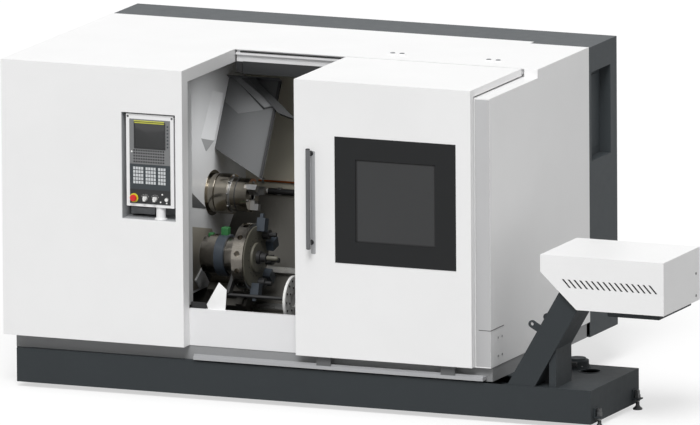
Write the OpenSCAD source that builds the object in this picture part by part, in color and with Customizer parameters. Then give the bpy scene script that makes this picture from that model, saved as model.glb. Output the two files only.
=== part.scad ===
// Twin-spindle turning lathe in a full enclosure, with a sliding door, a tool turret on a slant bed,
// a swivelling control panel and a chip conveyor that rises out of the coolant tank.
// Lengths are millimetres. X runs along the front, Y to the back and Z up from the floor.

/* [Enclosure] */
// Length of the enclosure along the front
cab_w = 3100; // [3060:1:3200]
// Height of the roof above the floor
cab_h = 1971; // [1940:1:2040]
// Height of the enclosure's lower edge above the floor
cab_z = 317; // [305:1:330]
// Depth from the front to the rear cabinet
cab_d = 1585; // [1560:1:1640]
// Length of the fixed left part of the front
left_w = 1164; // [1150:1:1180]
// Sheet thickness of the covers
sheet = 4; // [3:0.5:5]
// Depth of the flange beside the work opening
lip_d = 86; // [70:1:95]
// Height of the flange under the roof beside the opening
lip_h = 76; // [60:1:90]
// Depth of the roof cut-out that the door closes
notch_d = 797; // [780:1:820]
// Overlap of the roof on the rear cabinet
roof_lap = 58; // [30:1:90]
// Distance from the right end to the step in the roof's rear edge
roof_step = 375; // [300:1:600]
// Setback of the fixed right front behind the door's front
right_setback = 55; // [53:1:64]
// Drop of the fixed right roof below the door's roof
right_drop = 51; // [48:1:60]
// Height of the panel below the work opening
apron_h = 220; // [180:1:250]
// Height of the corner service cover
service_h = 222; // [180:1:240]
// Length of the service cover on the front
service_w = 75; // [60:1:90]
// Length of the service cover on the side
service_d = 200; // [180:1:230]
// Radius of a service cover screw head
cover_screw_r = 6; // [4:0.5:8]
// Radius of a roof plug
plug_r = 26; // [18:1:30]

/* [Rear cabinet] */
// Depth of the rear cabinet
rear_d = 434; // [380:1:480]
// Height of the rear cabinet's lower edge
rear_z = 225; // [200:1:260]
// Width of the recess in the rear cabinet's right side
recess_w = 300; // [200:1:310]
// Height of the recess
recess_h = 534; // [400:1:600]
// Distance from the roof to the recess
recess_drop = 157; // [120:1:200]
// Depth of the recess
recess_d = 70; // [40:1:100]

/* [Door] */
// Length of the door
door_w = 1121; // [1115:1:1130]
// Distance from the open door to the enclosure's right end
door_end = 98; // [96:1:110]
// Overlap of the closed door on the fixed right front
door_lap = 48; // [40:1:60]
// Thickness of the door
door_t = 48; // [44:1:50]
// Gap between the closed door and the fixed left front
door_gap = 3; // [2:0.5:5]
// Outer width of the window frame
win_w = 769; // [700:1:800]
// Outer height of the window frame
win_h = 752; // [700:1:800]
// Distance from the door's left edge to the window frame
win_left = 257; // [220:1:300]
// Distance from the door's top to the window frame
win_drop = 325; // [280:1:360]
// Width of the window glass that shows
glass_w = 506; // [460:1:560]
// Height of the window glass that shows
glass_h = 493; // [460:1:560]
// Thickness of the window glass
glass_t = 6; // [4:1:8]
// Length of the door handle
handle_len = 591; // [500:1:700]
// Width of the handle bar
handle_w = 27; // [20:1:36]
// Distance from the door to the back of the handle bar
handle_reach = 34; // [28:1:50]
// Distance from the door's left edge to the handle's middle
handle_left = 106; // [80:1:130]
// Distance from the door's top to the handle
handle_drop = 405; // [380:1:460]

/* [Control panel] */
// Distance from the pocket to the end of the left part
pocket_end = 45; // [40:1:70]
// Width of the pocket
pocket_w = 345; // [340:1:360]
// Height of the pocket
pocket_h = 638; // [620:1:680]
// Distance from the roof to the pocket
pocket_drop = 267; // [240:1:300]
// Depth of the pocket
pocket_d = 180; // [170:1:220]
// Width of the panel box
panel_w = 304; // [296:1:306]
// Height of the panel box
panel_h = 552; // [540:1:570]
// Depth of the panel box
panel_d = 80; // [76:1:84]
// Setback of the panel box behind the front
panel_setback = 12; // [11:0.5:14]
// Width of the white border round the instruments
panel_border = 22; // [18:1:26]
// Height of the display unit
display_h = 268; // [240:1:280]
// Height of the key panel
keys_h = 150; // [140:1:155]
// Radius of the post that carries the panel
post_r = 28; // [24:1:32]
// Radius of the post's pivot pin
pivot_r = 15; // [12:0.5:18]
// Radius of the emergency stop's mushroom head
estop_r = 20; // [16:0.5:22]
// Travel of the emergency stop
estop_travel = 5; // [4:0.5:6]
// Radius of a rotary switch knob
knob_r = 12; // [9:0.5:14]
// Radius of the start button
button_r = 8; // [6:0.5:10]
// Travel of the start button
button_travel = 3; // [2:0.5:4]

/* [Coolant tank] */
// How far the tank reaches past the enclosure's right end
tank_over = 637; // [610:1:660]
// Depth of the tank
tank_d = 746; // [700:1:755]
// Height of the tank's top above the floor
tank_z = 231; // [222:1:240]
// Height of the tank's bottom above the floor
tank_floor_z = 30; // [24:1:40]
// Distance from the enclosure's left end to the tank's left end
tank_x = 67; // [40:1:90]
// Setback of the tank's front behind the enclosure's front
tank_y = 40; // [30:1:44]
// Wall of the tank
tank_wall = 5; // [4:0.5:6]
// Radius of a levelling pad
pad_r = 28; // [22:1:36]
// Radius of a levelling screw
screw_r = 8; // [6:0.5:10]
// Radius of the round opening in the tank's top
filler_r = 60; // [45:1:75]
// Radius of the pump's flange
pump_r = 75; // [60:1:85]

/* [Bed and spindles] */
// Angle of the slant bed
slant = 45; // [44:1:46]
// Distance from the front to the spindle axis
spindle_y = 800; // [790:1:810]
// Height of the spindle axis
spindle_z = 1096; // [1085:1:1110]
// Distance from the bed's ways to the spindle axis
centre_h = 345; // [340:1:355]
// Distance from the bed's left end to the headstock
bed_lead = 120; // [90:1:150]
// Distance from the bed to the enclosure's right end
bed_end = 200; // [190:1:240]
// Width of a guide rail
rail_w = 40; // [34:1:46]
// Height of a guide rail
rail_h = 30; // [26:1:34]
// Running clearance of a guide
guide_gap = 0.3; // [0.2:0.05:0.4]
// Distance from the headstock wall to the end of the left part
wall_end = 154; // [144:1:160]
// Radius of the spindle
spindle_r = 70; // [62:0.5:75]
// Running clearance of a shaft, radial
run_gap = 0.05; // [0.03:0.01:0.08]
// Radius of the chuck's rear flange
chuck_flange_r = 120; // [114:1:122]
// Radius of the chuck
chuck_r = 100; // [95:1:105]
// Length of the chuck
chuck_l = 198; // [180:1:205]
// Width of a chuck jaw
jaw_w = 36; // [30:1:42]
// Length of a chuck jaw
jaw_l = 56; // [46:1:58]
// Travel of a chuck jaw each way
jaw_travel = 5; // [3:0.5:6]
// Distance from the opposed headstock to the enclosure's right end
sub_end = 260; // [250:1:290]

/* [Turret] */
// Distance from the spindle axis to the turret axis along the slant
turret_gap = 435; // [430:1:445]
// Radius of the turret disc
disc_r = 200; // [190:1:205]
// Thickness of the turret disc
disc_t = 71; // [60:1:80]
// Number of tool stations
stations = 12; // [8:2:12]
// Radius of the turret housing
turret_body_r = 110; // [100:1:112]
// Length of the turret housing
turret_body_l = 240; // [230:1:244]
// Radius of a tool station's bore
station_r = 17; // [12:0.5:20]
// Reach of the tools from the turret axis
tool_reach = 260; // [240:1:262]
// Radius of a boring bar
bar_r = 14; // [10:0.5:18]

/* [Chip conveyor] */
// Width of the conveyor casing
conv_w = 263; // [240:1:280]
// Depth of the conveyor casing
conv_h = 150; // [140:1:154]
// Angle of the conveyor's rise
rise = 60; // [58:1:62]
// Distance from the enclosure's right end to the foot of the rise
rise_gap = 193; // [185:1:200]
// Height of the conveyor's upper shaft
head_z = 880; // [860:1:890]
// Thickness of the conveyor belt
belt_t = 10; // [8:1:12]
// Radius of the conveyor's sprockets
sprocket_r = 40; // [36:1:42]
// Radius of the conveyor's shaft
shaft_r = 16; // [14:0.5:18]
// Distance from the enclosure's right end to the hood
hood_gap = 330; // [320:1:340]
// Length of the hood
hood_l = 778; // [740:1:800]
// Depth of the hood
hood_d = 563; // [540:1:600]
// Height of the hood
hood_h = 315; // [305:1:330]
// Height of the hood's top above the floor
hood_z = 1026; // [1010:1:1040]
// Height of the hood's upright left edge
hood_left_h = 102; // [90:1:120]
// Number of vent slots in the hood's front
vents = 16; // [8:1:18]
// Width of the support leg
leg_w = 45; // [38:1:60]

/* [Hidden] */
$fn = 64;

// Overcut that keeps a cut from ending on a face
over = 1;
// Gap between separate pieces that stay together
seat = 0.2;
seam = 0.2;

// Rear of the machine and the origin, the middle of its footprint
rear_y = cab_d + rear_d;
handle_front = -handle_reach - handle_w;
hood_y = 20;
hood_x = cab_w + hood_gap;
hood_x1 = hood_x + hood_l;
origin_x = hood_x1 / 2;
origin_y = (rear_y + handle_front) / 2;

// Skirt between the tank and the enclosure
plinth_x0 = 45;
plinth_x1 = cab_w - sheet;
plinth_y0 = 90;
plinth_back = 45;
plinth_y1 = cab_d - plinth_back;
flange_w = 60;

// Door and its guides
door_x = cab_w - door_end - door_w;
door_lift = 5;
door_z = cab_z + door_lift;
door_roof_gap = 12;
door_roof_d = notch_d - door_roof_gap;
skirt_gap = 9;
door_skirt_h = right_drop - skirt_gap;
guide_l = 90;
guide_half = 15;
lower_guide_front = 12;
lower_guide_back = 8;
guide_inset = 120;
tongue_h = 12;
tongue_in = 8;
rail_back = 15;
rail_front = 23;
riser_w = 85;
top_guide_z = cab_h - sheet / 2 - right_drop / 2;
tongue_end = 10;
ledge_lift = 12;
ledge_z = tank_z + ledge_lift;
ledge_start = 49;
ledge_end = 40;
ledge_front = 14;
ledge_t = 21;
rib_h = 11;
rib_w = 8;
rib_y = 38;
right_x = left_w + door_gap + door_w - door_lap;
wall_x = left_w - wall_end;
right_top = cab_h - right_drop;
roof_step_x = cab_w - roof_step;
service_lap = 20;
cover_screw_y = [110, 170];
cover_screw_z = [57, 165];
cover_screw_t = 3;
apron_top_d = 30;
apron_lap = 20;
plug_far = 992;
plug_near = 378;
plug_x = [cab_w - plug_far, cab_w - plug_near];
plug_pitch = 60;
plug_back = 158;
plug_h = 8;
plug_top_r = plug_r - 5;
recess_gap = 35;
win_x = door_x + win_left;
win_z = cab_h - win_drop - win_h;
win_lap = 8;
win_proud = 2;
win_in = 12;
glass_x = win_x + (win_w - glass_w) / 2;
glass_z = win_z + (win_h - glass_h) / 2;
glass_lap = 10;
handle_x = door_x + handle_left;
handle_z = cab_h - handle_drop - handle_len;
mount_inset = 30;
mount_r = 9;

// Control panel
pocket_x = left_w - pocket_end - pocket_w;
pocket_z = cab_h - pocket_drop - pocket_h;
panel_side = 26;
panel_x = pocket_x + panel_side;
panel_drop = 276;
panel_z = cab_h - panel_drop - panel_h;
pivot_side = 205;
pivot_back = 33;
pivot_x = panel_x + pivot_side;
pivot_y = panel_setback + pivot_back;
pivot_l = 60;
pivot_end = 0.5;
boss_wall = 12;
boss_cap = 8;
post_base_w = 10;
post_base_t = 8;
panel_wall = 5;
plate_t = 10;
plate_proud = 3;
plate_w = panel_w - 2 * panel_border;
plate_x = panel_x + panel_border;
plate_y = panel_setback - plate_proud;
plate_top = 30;
plate_low = 18;
plate_ledge = 8;
display_z = panel_z + panel_h - plate_top - display_h;
keys_z = display_z - keys_h;
switch_h = keys_z - panel_z - plate_low;
switch_z = keys_z - switch_h;
switch_rise = 32;
switch_mid = switch_z + switch_rise;
estop_side = 27;
knob_left_gap = 71;
knob_right_gap = 135;
start_gap = 209;
estop_x = plate_x + estop_side;
knob_left_x = estop_x + knob_left_gap;
knob_right_x = estop_x + knob_right_gap;
start_x = estop_x + start_gap;
ring_t = 4;
ring_w = 7;
stem_r = 8;
stem_gap = 1;
estop_head_t = 9;
estop_cap_t = 5;
estop_cap_r = estop_r - 4;
knob_h = 16;
knob_lift = 0.5;
knob_grip_h = 4;
knob_grip_w = 6;
knob_grip_r = knob_r - 1;
button_h = 4;
button_rim = 2;
stem_short = 1;

// Instruments on the panel's plates
screen_w = 196;
screen_h = 157;
screen_drop = 15;
screen_in = 2;
key_columns = [4, 4, 3];
key_x = [23, 103, 183];
key_pitch_x = 17;
key_pitch_z = 21;
key_rows = 5;
key_w = 13;
key_h = 16;
key_t = 2;
key_top = 17;

// Coolant tank
tank_x1 = cab_w + tank_over;
tank_y1 = tank_y + tank_d;
chip_left = 90;
chip_right = 150;
chip_front = 290;
chip_rear = 70;
chip_x0 = wall_x + chip_left;
chip_x1 = cab_w - chip_right;
chip_y0 = tank_y + chip_front;
chip_y1 = tank_y1 - chip_rear;
pump_end = 347;
pump_rear = 106;
pump_x = tank_x1 - pump_end;
pump_y = tank_y1 - pump_rear;
pump_tube_r = pump_r - 20;
pump_body_r = pump_r - 12;
pump_cap_r = pump_r - 24;
pump_flange_t = 14;
pump_body_h = 34;
pump_cap_h = 10;
pump_lift = 15;
filler_end = 231;
filler_rear = 193;
filler_x = tank_x1 - filler_end;
filler_y = tank_y1 - filler_rear;
foot_front = 75;
foot_rear = 80;
foot_shift = 260;
foot_y = [tank_y + foot_front, tank_y1 - foot_rear];
foot_left_y = [tank_y + foot_front + foot_shift, tank_y1 - foot_rear];
foot_first = 500;
foot_last = 700;
foot_inner_x = [tank_x + foot_first, (tank_x + tank_x1) / 2, tank_x1 - foot_last];
pad_t = 10;
pad_top_r = pad_r * 0.55;
nut_r = screw_r * 1.9;
nut_t = 11;
screw_stand = 30;
bracket_lift = 30;
bracket_t = 8;
bracket_w = 60;
bracket_reach = 46;
foot_reach = 24;
bracket_h = 60;

// Slant bed, worked out in the slant's own frame with the spindle axis as its origin
head_gap = 10;
head_l = 580;
head_x1 = wall_x - head_gap;
head_x0 = head_x1 - head_l;
bed_x0 = head_x0 - bed_lead;
bed_x1 = cab_w - bed_end;
bed_top_s = 230;
nose_reach = 185;
bed_nose_s = -turret_gap - nose_reach;
upper_s = 150;
lower_s = 130;
bed_gap = 105;
bed_back = cab_d - bed_gap;
bed_foot_y0 = 850;
bed_foot_z = 60;
nose_lift = 13;
nose_z = cab_z + nose_lift;
bed_wall = 50;
function slant_y(s, n) = spindle_y + s * cos(slant) - n * sin(slant);
function slant_z(s, n) = spindle_z + s * sin(slant) + n * cos(slant);
bed_nose_y = slant_y(bed_nose_s, -centre_h);
bed_nose_top = slant_z(bed_nose_s, -centre_h);
bed_top_y = slant_y(bed_top_s, -centre_h);
bed_top_z = slant_z(bed_top_s, -centre_h);
bed_foot_end = 120;
bed_foot_side = 60;
bed_feet_x = [bed_x0 + bed_foot_end, (bed_x0 + bed_x1) / 2, bed_x1 - bed_foot_end];
bed_feet_y = [bed_foot_y0 + bed_foot_side, bed_back - bed_foot_side];
bed_pad_r = pad_r * 2;
bed_pad_top_r = pad_r * 1.6;
splash_back = 80;
splash_y = bed_top_y + splash_back;
splash_end = 20;
wall_gap = 8;
fold_gap = 24;
fold_y = pocket_d + sheet + wall_gap;
fold_x = left_w - fold_gap;
wall_lift = 8;
wall_clear = 5;

// Slanted splash panel above the chuck
panel_top_y = 1054;
panel_top_z = 1746;
panel_slope = 60;
panel_l = 450;
panel_len_x = 340;
panel_cut = 174;
panel_lip = 40;

// Main spindle
head_s = 190;
head_n = 165;
bearing_r = 110;
bearing_l = 60;
bearing_inset = 20;
spindle_tail = 60;
nose_gap = 8;
chuck_gap = 57;
nose_x = wall_x + nose_gap;
chuck_x = wall_x + chuck_gap;
chuck_face = chuck_x + chuck_l;
flange_l = 78;
nose_r = 85;
bar_bore_r = 32;
jaw_slot = 20;
jaw_t = 52;
jaw_in = 32;
wall_hole_gap = 15;
wall_hole_r = chuck_flange_r + wall_hole_gap;

// Opposed spindle on its own slide
sub_chuck_l = 130;
sub_chuck_r = 100;
sub_l = 360;
sub_gap = 5;
sub_tail = 15;
sub_x0 = cab_w - sub_end - sub_l;
sub_face = sub_x0 - sub_gap - sub_chuck_l;
sub_lift = 7;
upper_reach = 560;
rail_end = 20;
sub_spindle_r = 60;
sub_n = 150;

// Turret carriage
disc_gap = 26;
disc_x = chuck_face + jaw_t + disc_gap;
disc_run = 1;
house_x = disc_x - turret_body_l - disc_run;
saddle_lead = 5;
slide_gap = 6;
saddle_x0 = house_x - saddle_lead;
saddle_x1 = disc_x - slide_gap;
saddle_half = 200;
saddle_lift = 7;
saddle_t = 106;
free_stations = floor(stations / 3);
saddle_n0 = -centre_h + saddle_lift;
saddle_n1 = saddle_n0 + saddle_t;
lower_lead = 20;
lower_reach = 340;
way_h = 20;
way_w = 40;
way_x = 80;
cross_half = 150;
cross_lift = 4;
cross_t = 78;
cross_n0 = saddle_n1 + cross_lift;
cross_n1 = cross_n0 + cross_t;
housing_foot = turret_body_r - 10;
collar_x = 40;
collar_l = 70;
collar_r = turret_body_r + 12;
turret_shaft_r = 45;
turret_shaft_l = 150;
shaft_end_gap = 3;
hub_r = 84;
hub_l = 14;
station_depth = 40;
block_w = 56;
block_t = 52;
block_seat = 46;
block_out = 34;
block_in = disc_r - block_seat;
bit_x = 10;
bit_l = 20;
bit_w = 20;
holder_in = 34;
holder_r = 30;
holder_l = 46;
bar_l = 40;
face_bolt_r = 5;
face_bolt_in = 26;
face_bolt_l = 12;

// Chip conveyor
conv_gap = 6;
conv_start = 180;
rise_x = cab_w + rise_gap;
conv_y0 = tank_y + conv_gap;
conv_y1 = conv_y0 + conv_w;
conv_wall = 4;
conv_tail_x = tank_x + conv_start;
conv_mid_z = tank_floor_z + tank_wall + seat + conv_h / 2;
head_x = rise_x + (head_z - tank_z) / tan(rise);
turn_x = rise_x - (tank_z - conv_mid_z) / tan(rise);
rise_l = (head_z - conv_mid_z) / sin(rise);
belt_gap = 20;
tail_gap = 10;
belt_y0 = conv_y0 + belt_gap;
belt_y1 = conv_y1 - belt_gap;
tail_x = conv_tail_x + conv_h / 2 + tail_gap;
outlet_lead = 20;
outlet_l = conv_h * 0.6;
outlet_h = conv_h * 0.75;
cleat_pitch = 320;
cleat_h = 14;
cleat_t = 8;
cleat_lead = 60;
cleat_end = 40;
shaft_out = 8;
shaft_seat = 10;
sprocket_in = 25;
sprocket_t = 24;
motor_r = 62;
motor_l = 175;
motor_shift = 20;
gearbox_w = 90;
gearbox_left = 50;
gearbox_right = 55;
gearbox_half = 50;
gearbox_cap = 8;
lug_inset = 12;
lug_out = 52;
lug_r = 22;
lug_t = 12;
lug_s = 493;
leg_gap = 132;
leg_inset = 14;
under_x = rise_x + conv_h / sin(rise) / 2;
lid_y = (conv_y1 + chip_y0) / 2;
leg_x1 = under_x + leg_gap;

// Hood over the conveyor's head
hood_chamfer = 227;
hood_sheet = 4;
hood_rim = 40;
hood_outlet_x = 400;
vent_pitch = 36.3;
vent_w = 14;
vent_run = 46;
vent_h = 50;
vent_x = 135;
vent_drop = 137;

module block(lo, hi) translate(lo) cube(hi - lo);

module along_x(x0, x1) translate([x0, 0, 0]) rotate([90, 0, 90]) linear_extrude(x1 - x0) children();

module along_y(y0, y1) translate([0, y1, 0]) rotate([90, 0, 0]) linear_extrude(y1 - y0) children();

module rod_x(x0, x1, r) translate([x0, 0, 0]) rotate([0, 90, 0]) cylinder(r = r, h = x1 - x0);

module rod_y(y0, y1, r) translate([0, y0, 0]) rotate([-90, 0, 0]) cylinder(r = r, h = y1 - y0);

// Moves the machine so that the middle of its footprint is the origin
module placed() translate([-origin_x, -origin_y, 0]) children();

// Frame of the slant: X along the spindle, Y up the slant, Z square to it
module at_spindle() translate([0, spindle_y, spindle_z]) rotate([slant, 0, 0]) children();

module at_turret() at_spindle() translate([0, -turret_gap, 0]) children();

// Levelling foot: a pad with its screw, standing on the floor
module levelling_foot(top) {
    cylinder(r1 = pad_r, r2 = pad_top_r, h = pad_t);
    cylinder(r = screw_r, h = top);
}

module coolant_tank() color("dimgray") placed() difference() {
    block([tank_x, tank_y, tank_floor_z], [tank_x1, tank_y1, tank_z]);
    block([tank_x + tank_wall, tank_y + tank_wall, tank_floor_z + tank_wall],
        [tank_x1 - tank_wall, tank_y1 - tank_wall, tank_z - tank_wall]);
    // Opening that the chips and the coolant fall through
    block([chip_x0, chip_y0, tank_z - tank_wall - over], [chip_x1, chip_y1, tank_z + over]);
    // Opening over the conveyor, up to the foot of its rise
    block([conv_tail_x, conv_y0 - seat, tank_z - tank_wall - over],
        [under_x + seat, conv_y1 + seat, tank_z + over]);
    translate([filler_x, filler_y, tank_z - tank_wall - over])
        cylinder(r = filler_r, h = tank_wall + 2 * over);
    translate([pump_x, pump_y, tank_z - tank_wall - over])
        cylinder(r = pump_tube_r + seat, h = tank_wall + 2 * over);
    tank_seams();
}

// Weld seams between the tank's floor, its walls and the plates of its lid
module tank_seams() {
    low = tank_floor_z + tank_wall;
    top = tank_z - tank_wall - seam;
    for (z = [low, top]) {
        block([tank_x - over, tank_y - over, z], [tank_x1 + over, tank_y1 + over, z + seam]);
    }
    for (y = [tank_y + tank_wall, tank_y1 - tank_wall - seam]) {
        block([tank_x - over, y, low], [tank_x1 + over, y + seam, top]);
    }
    block([tank_x - over, lid_y, top], [tank_x1 + over, lid_y + seam, tank_z + over]);
    for (x = [conv_tail_x - seam, under_x + seat]) {
        block([x, tank_y - over, top], [x + seam, lid_y + seam, tank_z + over]);
    }
    for (x = [chip_x0 - seam, chip_x1]) {
        block([x, lid_y, top], [x + seam, tank_y1 + over, tank_z + over]);
    }
    // Mitres that meet at the filler opening
    intersection() {
        block([chip_x1, lid_y, top], [tank_x1 + over, tank_y1 + over, tank_z + over]);
        for (turn = [45, 135]) {
            translate([filler_x, filler_y, top]) rotate([0, 0, turn])
                block([-tank_d, -seam / 2, 0], [tank_d, seam / 2, tank_z - top + over]);
        }
    }
}

// Angle brackets on the tank's ends, each drilled for a levelling screw
module tank_foot_brackets() color("dimgray") placed() {
    for (y = foot_y) {
        foot_bracket(tank_x1, 1, y);
    }
    for (y = foot_left_y) {
        foot_bracket(tank_x, -1, y);
    }
}

module foot_bracket(x, side, y) translate([x, y, 0]) scale_x(side) difference() {
    low = tank_floor_z + bracket_lift;
    union() {
        block([0, -bracket_w / 2, low], [bracket_t, bracket_w / 2, low + bracket_h]);
        block([0, -bracket_w / 2, low], [bracket_reach, bracket_w / 2, low + bracket_t]);
    }
    translate([foot_reach, 0, 0]) cylinder(r = screw_r + seat, h = low + bracket_h);
}

module scale_x(side) {
    if (side > 0) {
        children();
    } else {
        mirror([1, 0, 0]) children();
    }
}

module tank_feet() color("gray") placed() {
    bracket_top = tank_floor_z + bracket_lift + bracket_t;
    for (y = foot_y) {
        translate([tank_x1 + foot_reach, y, 0]) bracket_foot(bracket_top);
    }
    for (y = foot_left_y) {
        translate([tank_x - foot_reach, y, 0]) bracket_foot(bracket_top);
    }
    for (x = foot_inner_x, y = foot_left_y) {
        translate([x, y, 0]) levelling_foot(tank_floor_z);
    }
}

// Foot under a bracket: the screw stands through it, with a nut below and above
module bracket_foot(top) {
    levelling_foot(top + screw_stand);
    for (z = [top, top - bracket_t - nut_t]) {
        translate([0, 0, z]) cylinder(r = nut_r, h = nut_t, $fn = 6);
    }
}

module coolant_pump() color("dimgray") placed() translate([pump_x, pump_y, 0]) {
    low = tank_floor_z + tank_wall + pump_lift;
    body_z = tank_z + pump_flange_t;
    translate([0, 0, low]) cylinder(r = pump_tube_r, h = tank_z - low);
    translate([0, 0, tank_z]) cylinder(r = pump_r, h = pump_flange_t);
    translate([0, 0, body_z]) cylinder(r = pump_body_r, h = pump_body_h);
    translate([0, 0, body_z + pump_body_h]) cylinder(r = pump_cap_r, h = pump_cap_h);
}

module bed() color("slategray") placed() along_x(bed_x0, bed_x1) difference() {
    polygon([[bed_nose_y, nose_z], [bed_nose_y, bed_nose_top], [bed_top_y, bed_top_z], [bed_back, bed_top_z],
        [bed_back, bed_foot_z], [bed_foot_y0, bed_foot_z], [bed_foot_y0, nose_z]]);
    core_y0 = bed_foot_y0 + bed_wall;
    core_y1 = bed_back - bed_wall;
    slope_shift = 1.5 * bed_wall / cos(slant);
    slope_y = bed_top_y - bed_wall / tan(slant) + slope_shift / tan(slant);
    core_slope_y = min(slope_y, core_y1);
    core_top = bed_top_z - bed_wall + (core_slope_y - slope_y) * tan(slant);
    polygon([[core_y0, bed_foot_z + bed_wall], [core_y1, bed_foot_z + bed_wall], [core_y1, core_top],
        [core_slope_y, core_top], [core_y0, core_top - (core_slope_y - core_y0) * tan(slant)]]);
}

module bed_feet() color("gray") placed() for (x = bed_feet_x, y = bed_feet_y) {
    translate([x, y, 0]) {
        cylinder(r1 = bed_pad_r, r2 = bed_pad_top_r, h = bed_foot_z / 2);
        cylinder(r = screw_r * 2, h = bed_foot_z);
    }
}

module plinth() color("gray") placed() difference() {
    block([plinth_x0, plinth_y0, tank_z], [plinth_x1, plinth_y1, cab_z]);
    block([plinth_x0 + sheet, plinth_y0 + sheet, tank_z - over],
        [plinth_x1 - sheet, plinth_y1 - sheet, cab_z - sheet]);
    block([plinth_x0 + flange_w, plinth_y0 + flange_w, cab_z - sheet - over],
        [plinth_x1 - flange_w, plinth_y1 - flange_w, cab_z + over]);
}

module guide_rail(x0, x1, s, grow) block([x0, s - rail_w / 2 - grow, -centre_h],
    [x1, s + rail_w / 2 + grow, -centre_h + rail_h + grow]);

module upper_rails() color("silver") placed() at_spindle() for (s = [-upper_s, upper_s]) {
    guide_rail(sub_x0 - upper_reach, bed_x1 - rail_end, s, 0);
}

module lower_rails() color("silver") placed() at_turret() for (s = [-lower_s, lower_s]) {
    guide_rail(saddle_x0 - lower_lead, saddle_x1 + lower_reach, s, 0);
}

// Fixed left cover: front with the control pocket, side, roof and the flanges round the opening
module left_cabinet() color("white") placed() difference() {
    union() {
        block([0, 0, cab_z], [left_w, sheet, cab_h]);
        block([0, 0, cab_z], [sheet, cab_d, cab_h]);
        block([0, 0, cab_h - sheet], [left_w, cab_d + roof_lap, cab_h]);
        block([0, 0, cab_z], [left_w, plinth_y0 + flange_w, cab_z + sheet]);
        block([0, 0, cab_z], [plinth_x0 + flange_w, cab_d, cab_z + sheet]);
        block([left_w - sheet, 0, cab_z], [left_w, lip_d, cab_h]);
        block([left_w - sheet, 0, cab_h - lip_h], [left_w, notch_d, cab_h]);
        block([pocket_x - sheet, 0, pocket_z - sheet],
            [pocket_x + pocket_w + sheet, pocket_d + sheet, pocket_z + pocket_h + sheet]);
    }
    block([pocket_x, -over, pocket_z], [pocket_x + pocket_w, pocket_d, pocket_z + pocket_h]);
}

// Roof behind the door, with a flange that carries the door's top rail
module rear_roof() color("white") placed() {
    block([left_w, notch_d, cab_h - sheet], [cab_w, cab_d, cab_h]);
    block([left_w, cab_d - over, cab_h - sheet], [roof_step_x, cab_d + roof_lap, cab_h]);
    flange_y = notch_d + rail_front;
    block([left_w, flange_y, cab_h - lip_h], [cab_w - sheet, flange_y + sheet, cab_h]);
}

// Fixed right cover: front behind the door, lowered roof, and the right side
module right_cabinet() color("whitesmoke") placed() difference() {
    union() {
        block([right_x, right_setback, cab_z], [cab_w, right_setback + sheet, right_top]);
        block([right_x, right_setback, right_top - sheet], [cab_w, notch_d, right_top]);
        block([cab_w - sheet, right_setback, cab_z], [cab_w, cab_d, right_top]);
        block([cab_w - sheet, notch_d, cab_z], [cab_w, cab_d, cab_h - sheet]);
        block([right_x, right_setback, cab_z], [cab_w, plinth_y0 + flange_w, cab_z + sheet]);
        block([cab_w - flange_w - sheet, right_setback, cab_z], [cab_w, cab_d, cab_z + sheet]);
        block([cab_w - riser_w, notch_d - sheet, right_top - sheet], [cab_w, notch_d, cab_h - sheet]);
        service_backing();
    }
    service_cut(seat);
}

// Corner sheet of the given size, wrapped round the front and the side
module corner_sheet(depth, grow) {
    x0 = cab_w - service_w - grow;
    y1 = right_setback + service_d + grow;
    z0 = cab_z + 2 * sheet - min(grow, sheet);
    z1 = cab_z + service_h + grow;
    block([x0, right_setback, z0], [cab_w, right_setback + depth, z1]);
    block([cab_w - depth, right_setback, z0], [cab_w, y1, z1]);
}

module service_backing() translate([-sheet, sheet, 0]) difference() {
    corner_sheet(sheet, service_lap);
    translate([over, -over, 0]) corner_sheet(3 * sheet, -service_lap);
}

module service_cut(gap) corner_sheet(sheet, gap);

module service_cover() color("whitesmoke") placed() corner_sheet(sheet, -seat);

module cover_screws() color("silver") placed() for (y = cover_screw_y, z = cover_screw_z) {
    translate([cab_w, right_setback + y, cab_z + z]) rotate([0, 90, 0]) difference() {
        cylinder(r = cover_screw_r, h = cover_screw_t);
        translate([0, 0, cover_screw_t / 2]) cylinder(r = cover_screw_r / 2, h = cover_screw_t, $fn = 6);
    }
}

module apron() color("white") placed() {
    x1 = right_x + flange_w;
    top = cab_z + apron_h;
    block([left_w, lip_d, cab_z], [right_x, lip_d + sheet, top]);
    block([right_x, lip_d, cab_z + sheet], [x1, lip_d + sheet, top]);
    block([left_w, lip_d, top - sheet], [x1, lip_d + apron_top_d, top]);
    block([left_w - apron_lap, lip_d, cab_z + sheet], [left_w, lip_d + sheet, top]);
}

// Rail along the rear of the roof cut-out, with a tongue that the door's guides run on
module door_top_rail() color("silver") placed() {
    block([left_w + door_gap, notch_d + rail_back, cab_h - lip_h],
        [cab_w - sheet, notch_d + rail_front, cab_h - sheet]);
    block([left_w + door_gap, notch_d + guide_gap, top_guide_z - tongue_h / 2 + guide_gap],
        [cab_w - riser_w - tongue_end, notch_d + rail_back, top_guide_z + tongue_h / 2 - guide_gap]);
}

// Ledge below the door, with a rib that its lower guides run on
module door_lower_rail() color("silver") placed() {
    x0 = left_w + ledge_start;
    x1 = cab_w - ledge_end;
    block([x0, rib_y - ledge_front, ledge_z], [x1, plinth_y0, ledge_z + ledge_t]);
    block([x0, rib_y - rib_w / 2 + guide_gap, ledge_z + ledge_t],
        [x1, rib_y + rib_w / 2 - guide_gap, ledge_z + ledge_t + rib_h]);
}

// Wall between the headstock and the work space, from the roof down to the bed
module headstock_wall() color("lightgray") placed() difference() {
    wall_sheets();
    translate([0, spindle_y, spindle_z]) rod_x(wall_x - over, wall_x + sheet + over, wall_hole_r);
}

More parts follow.
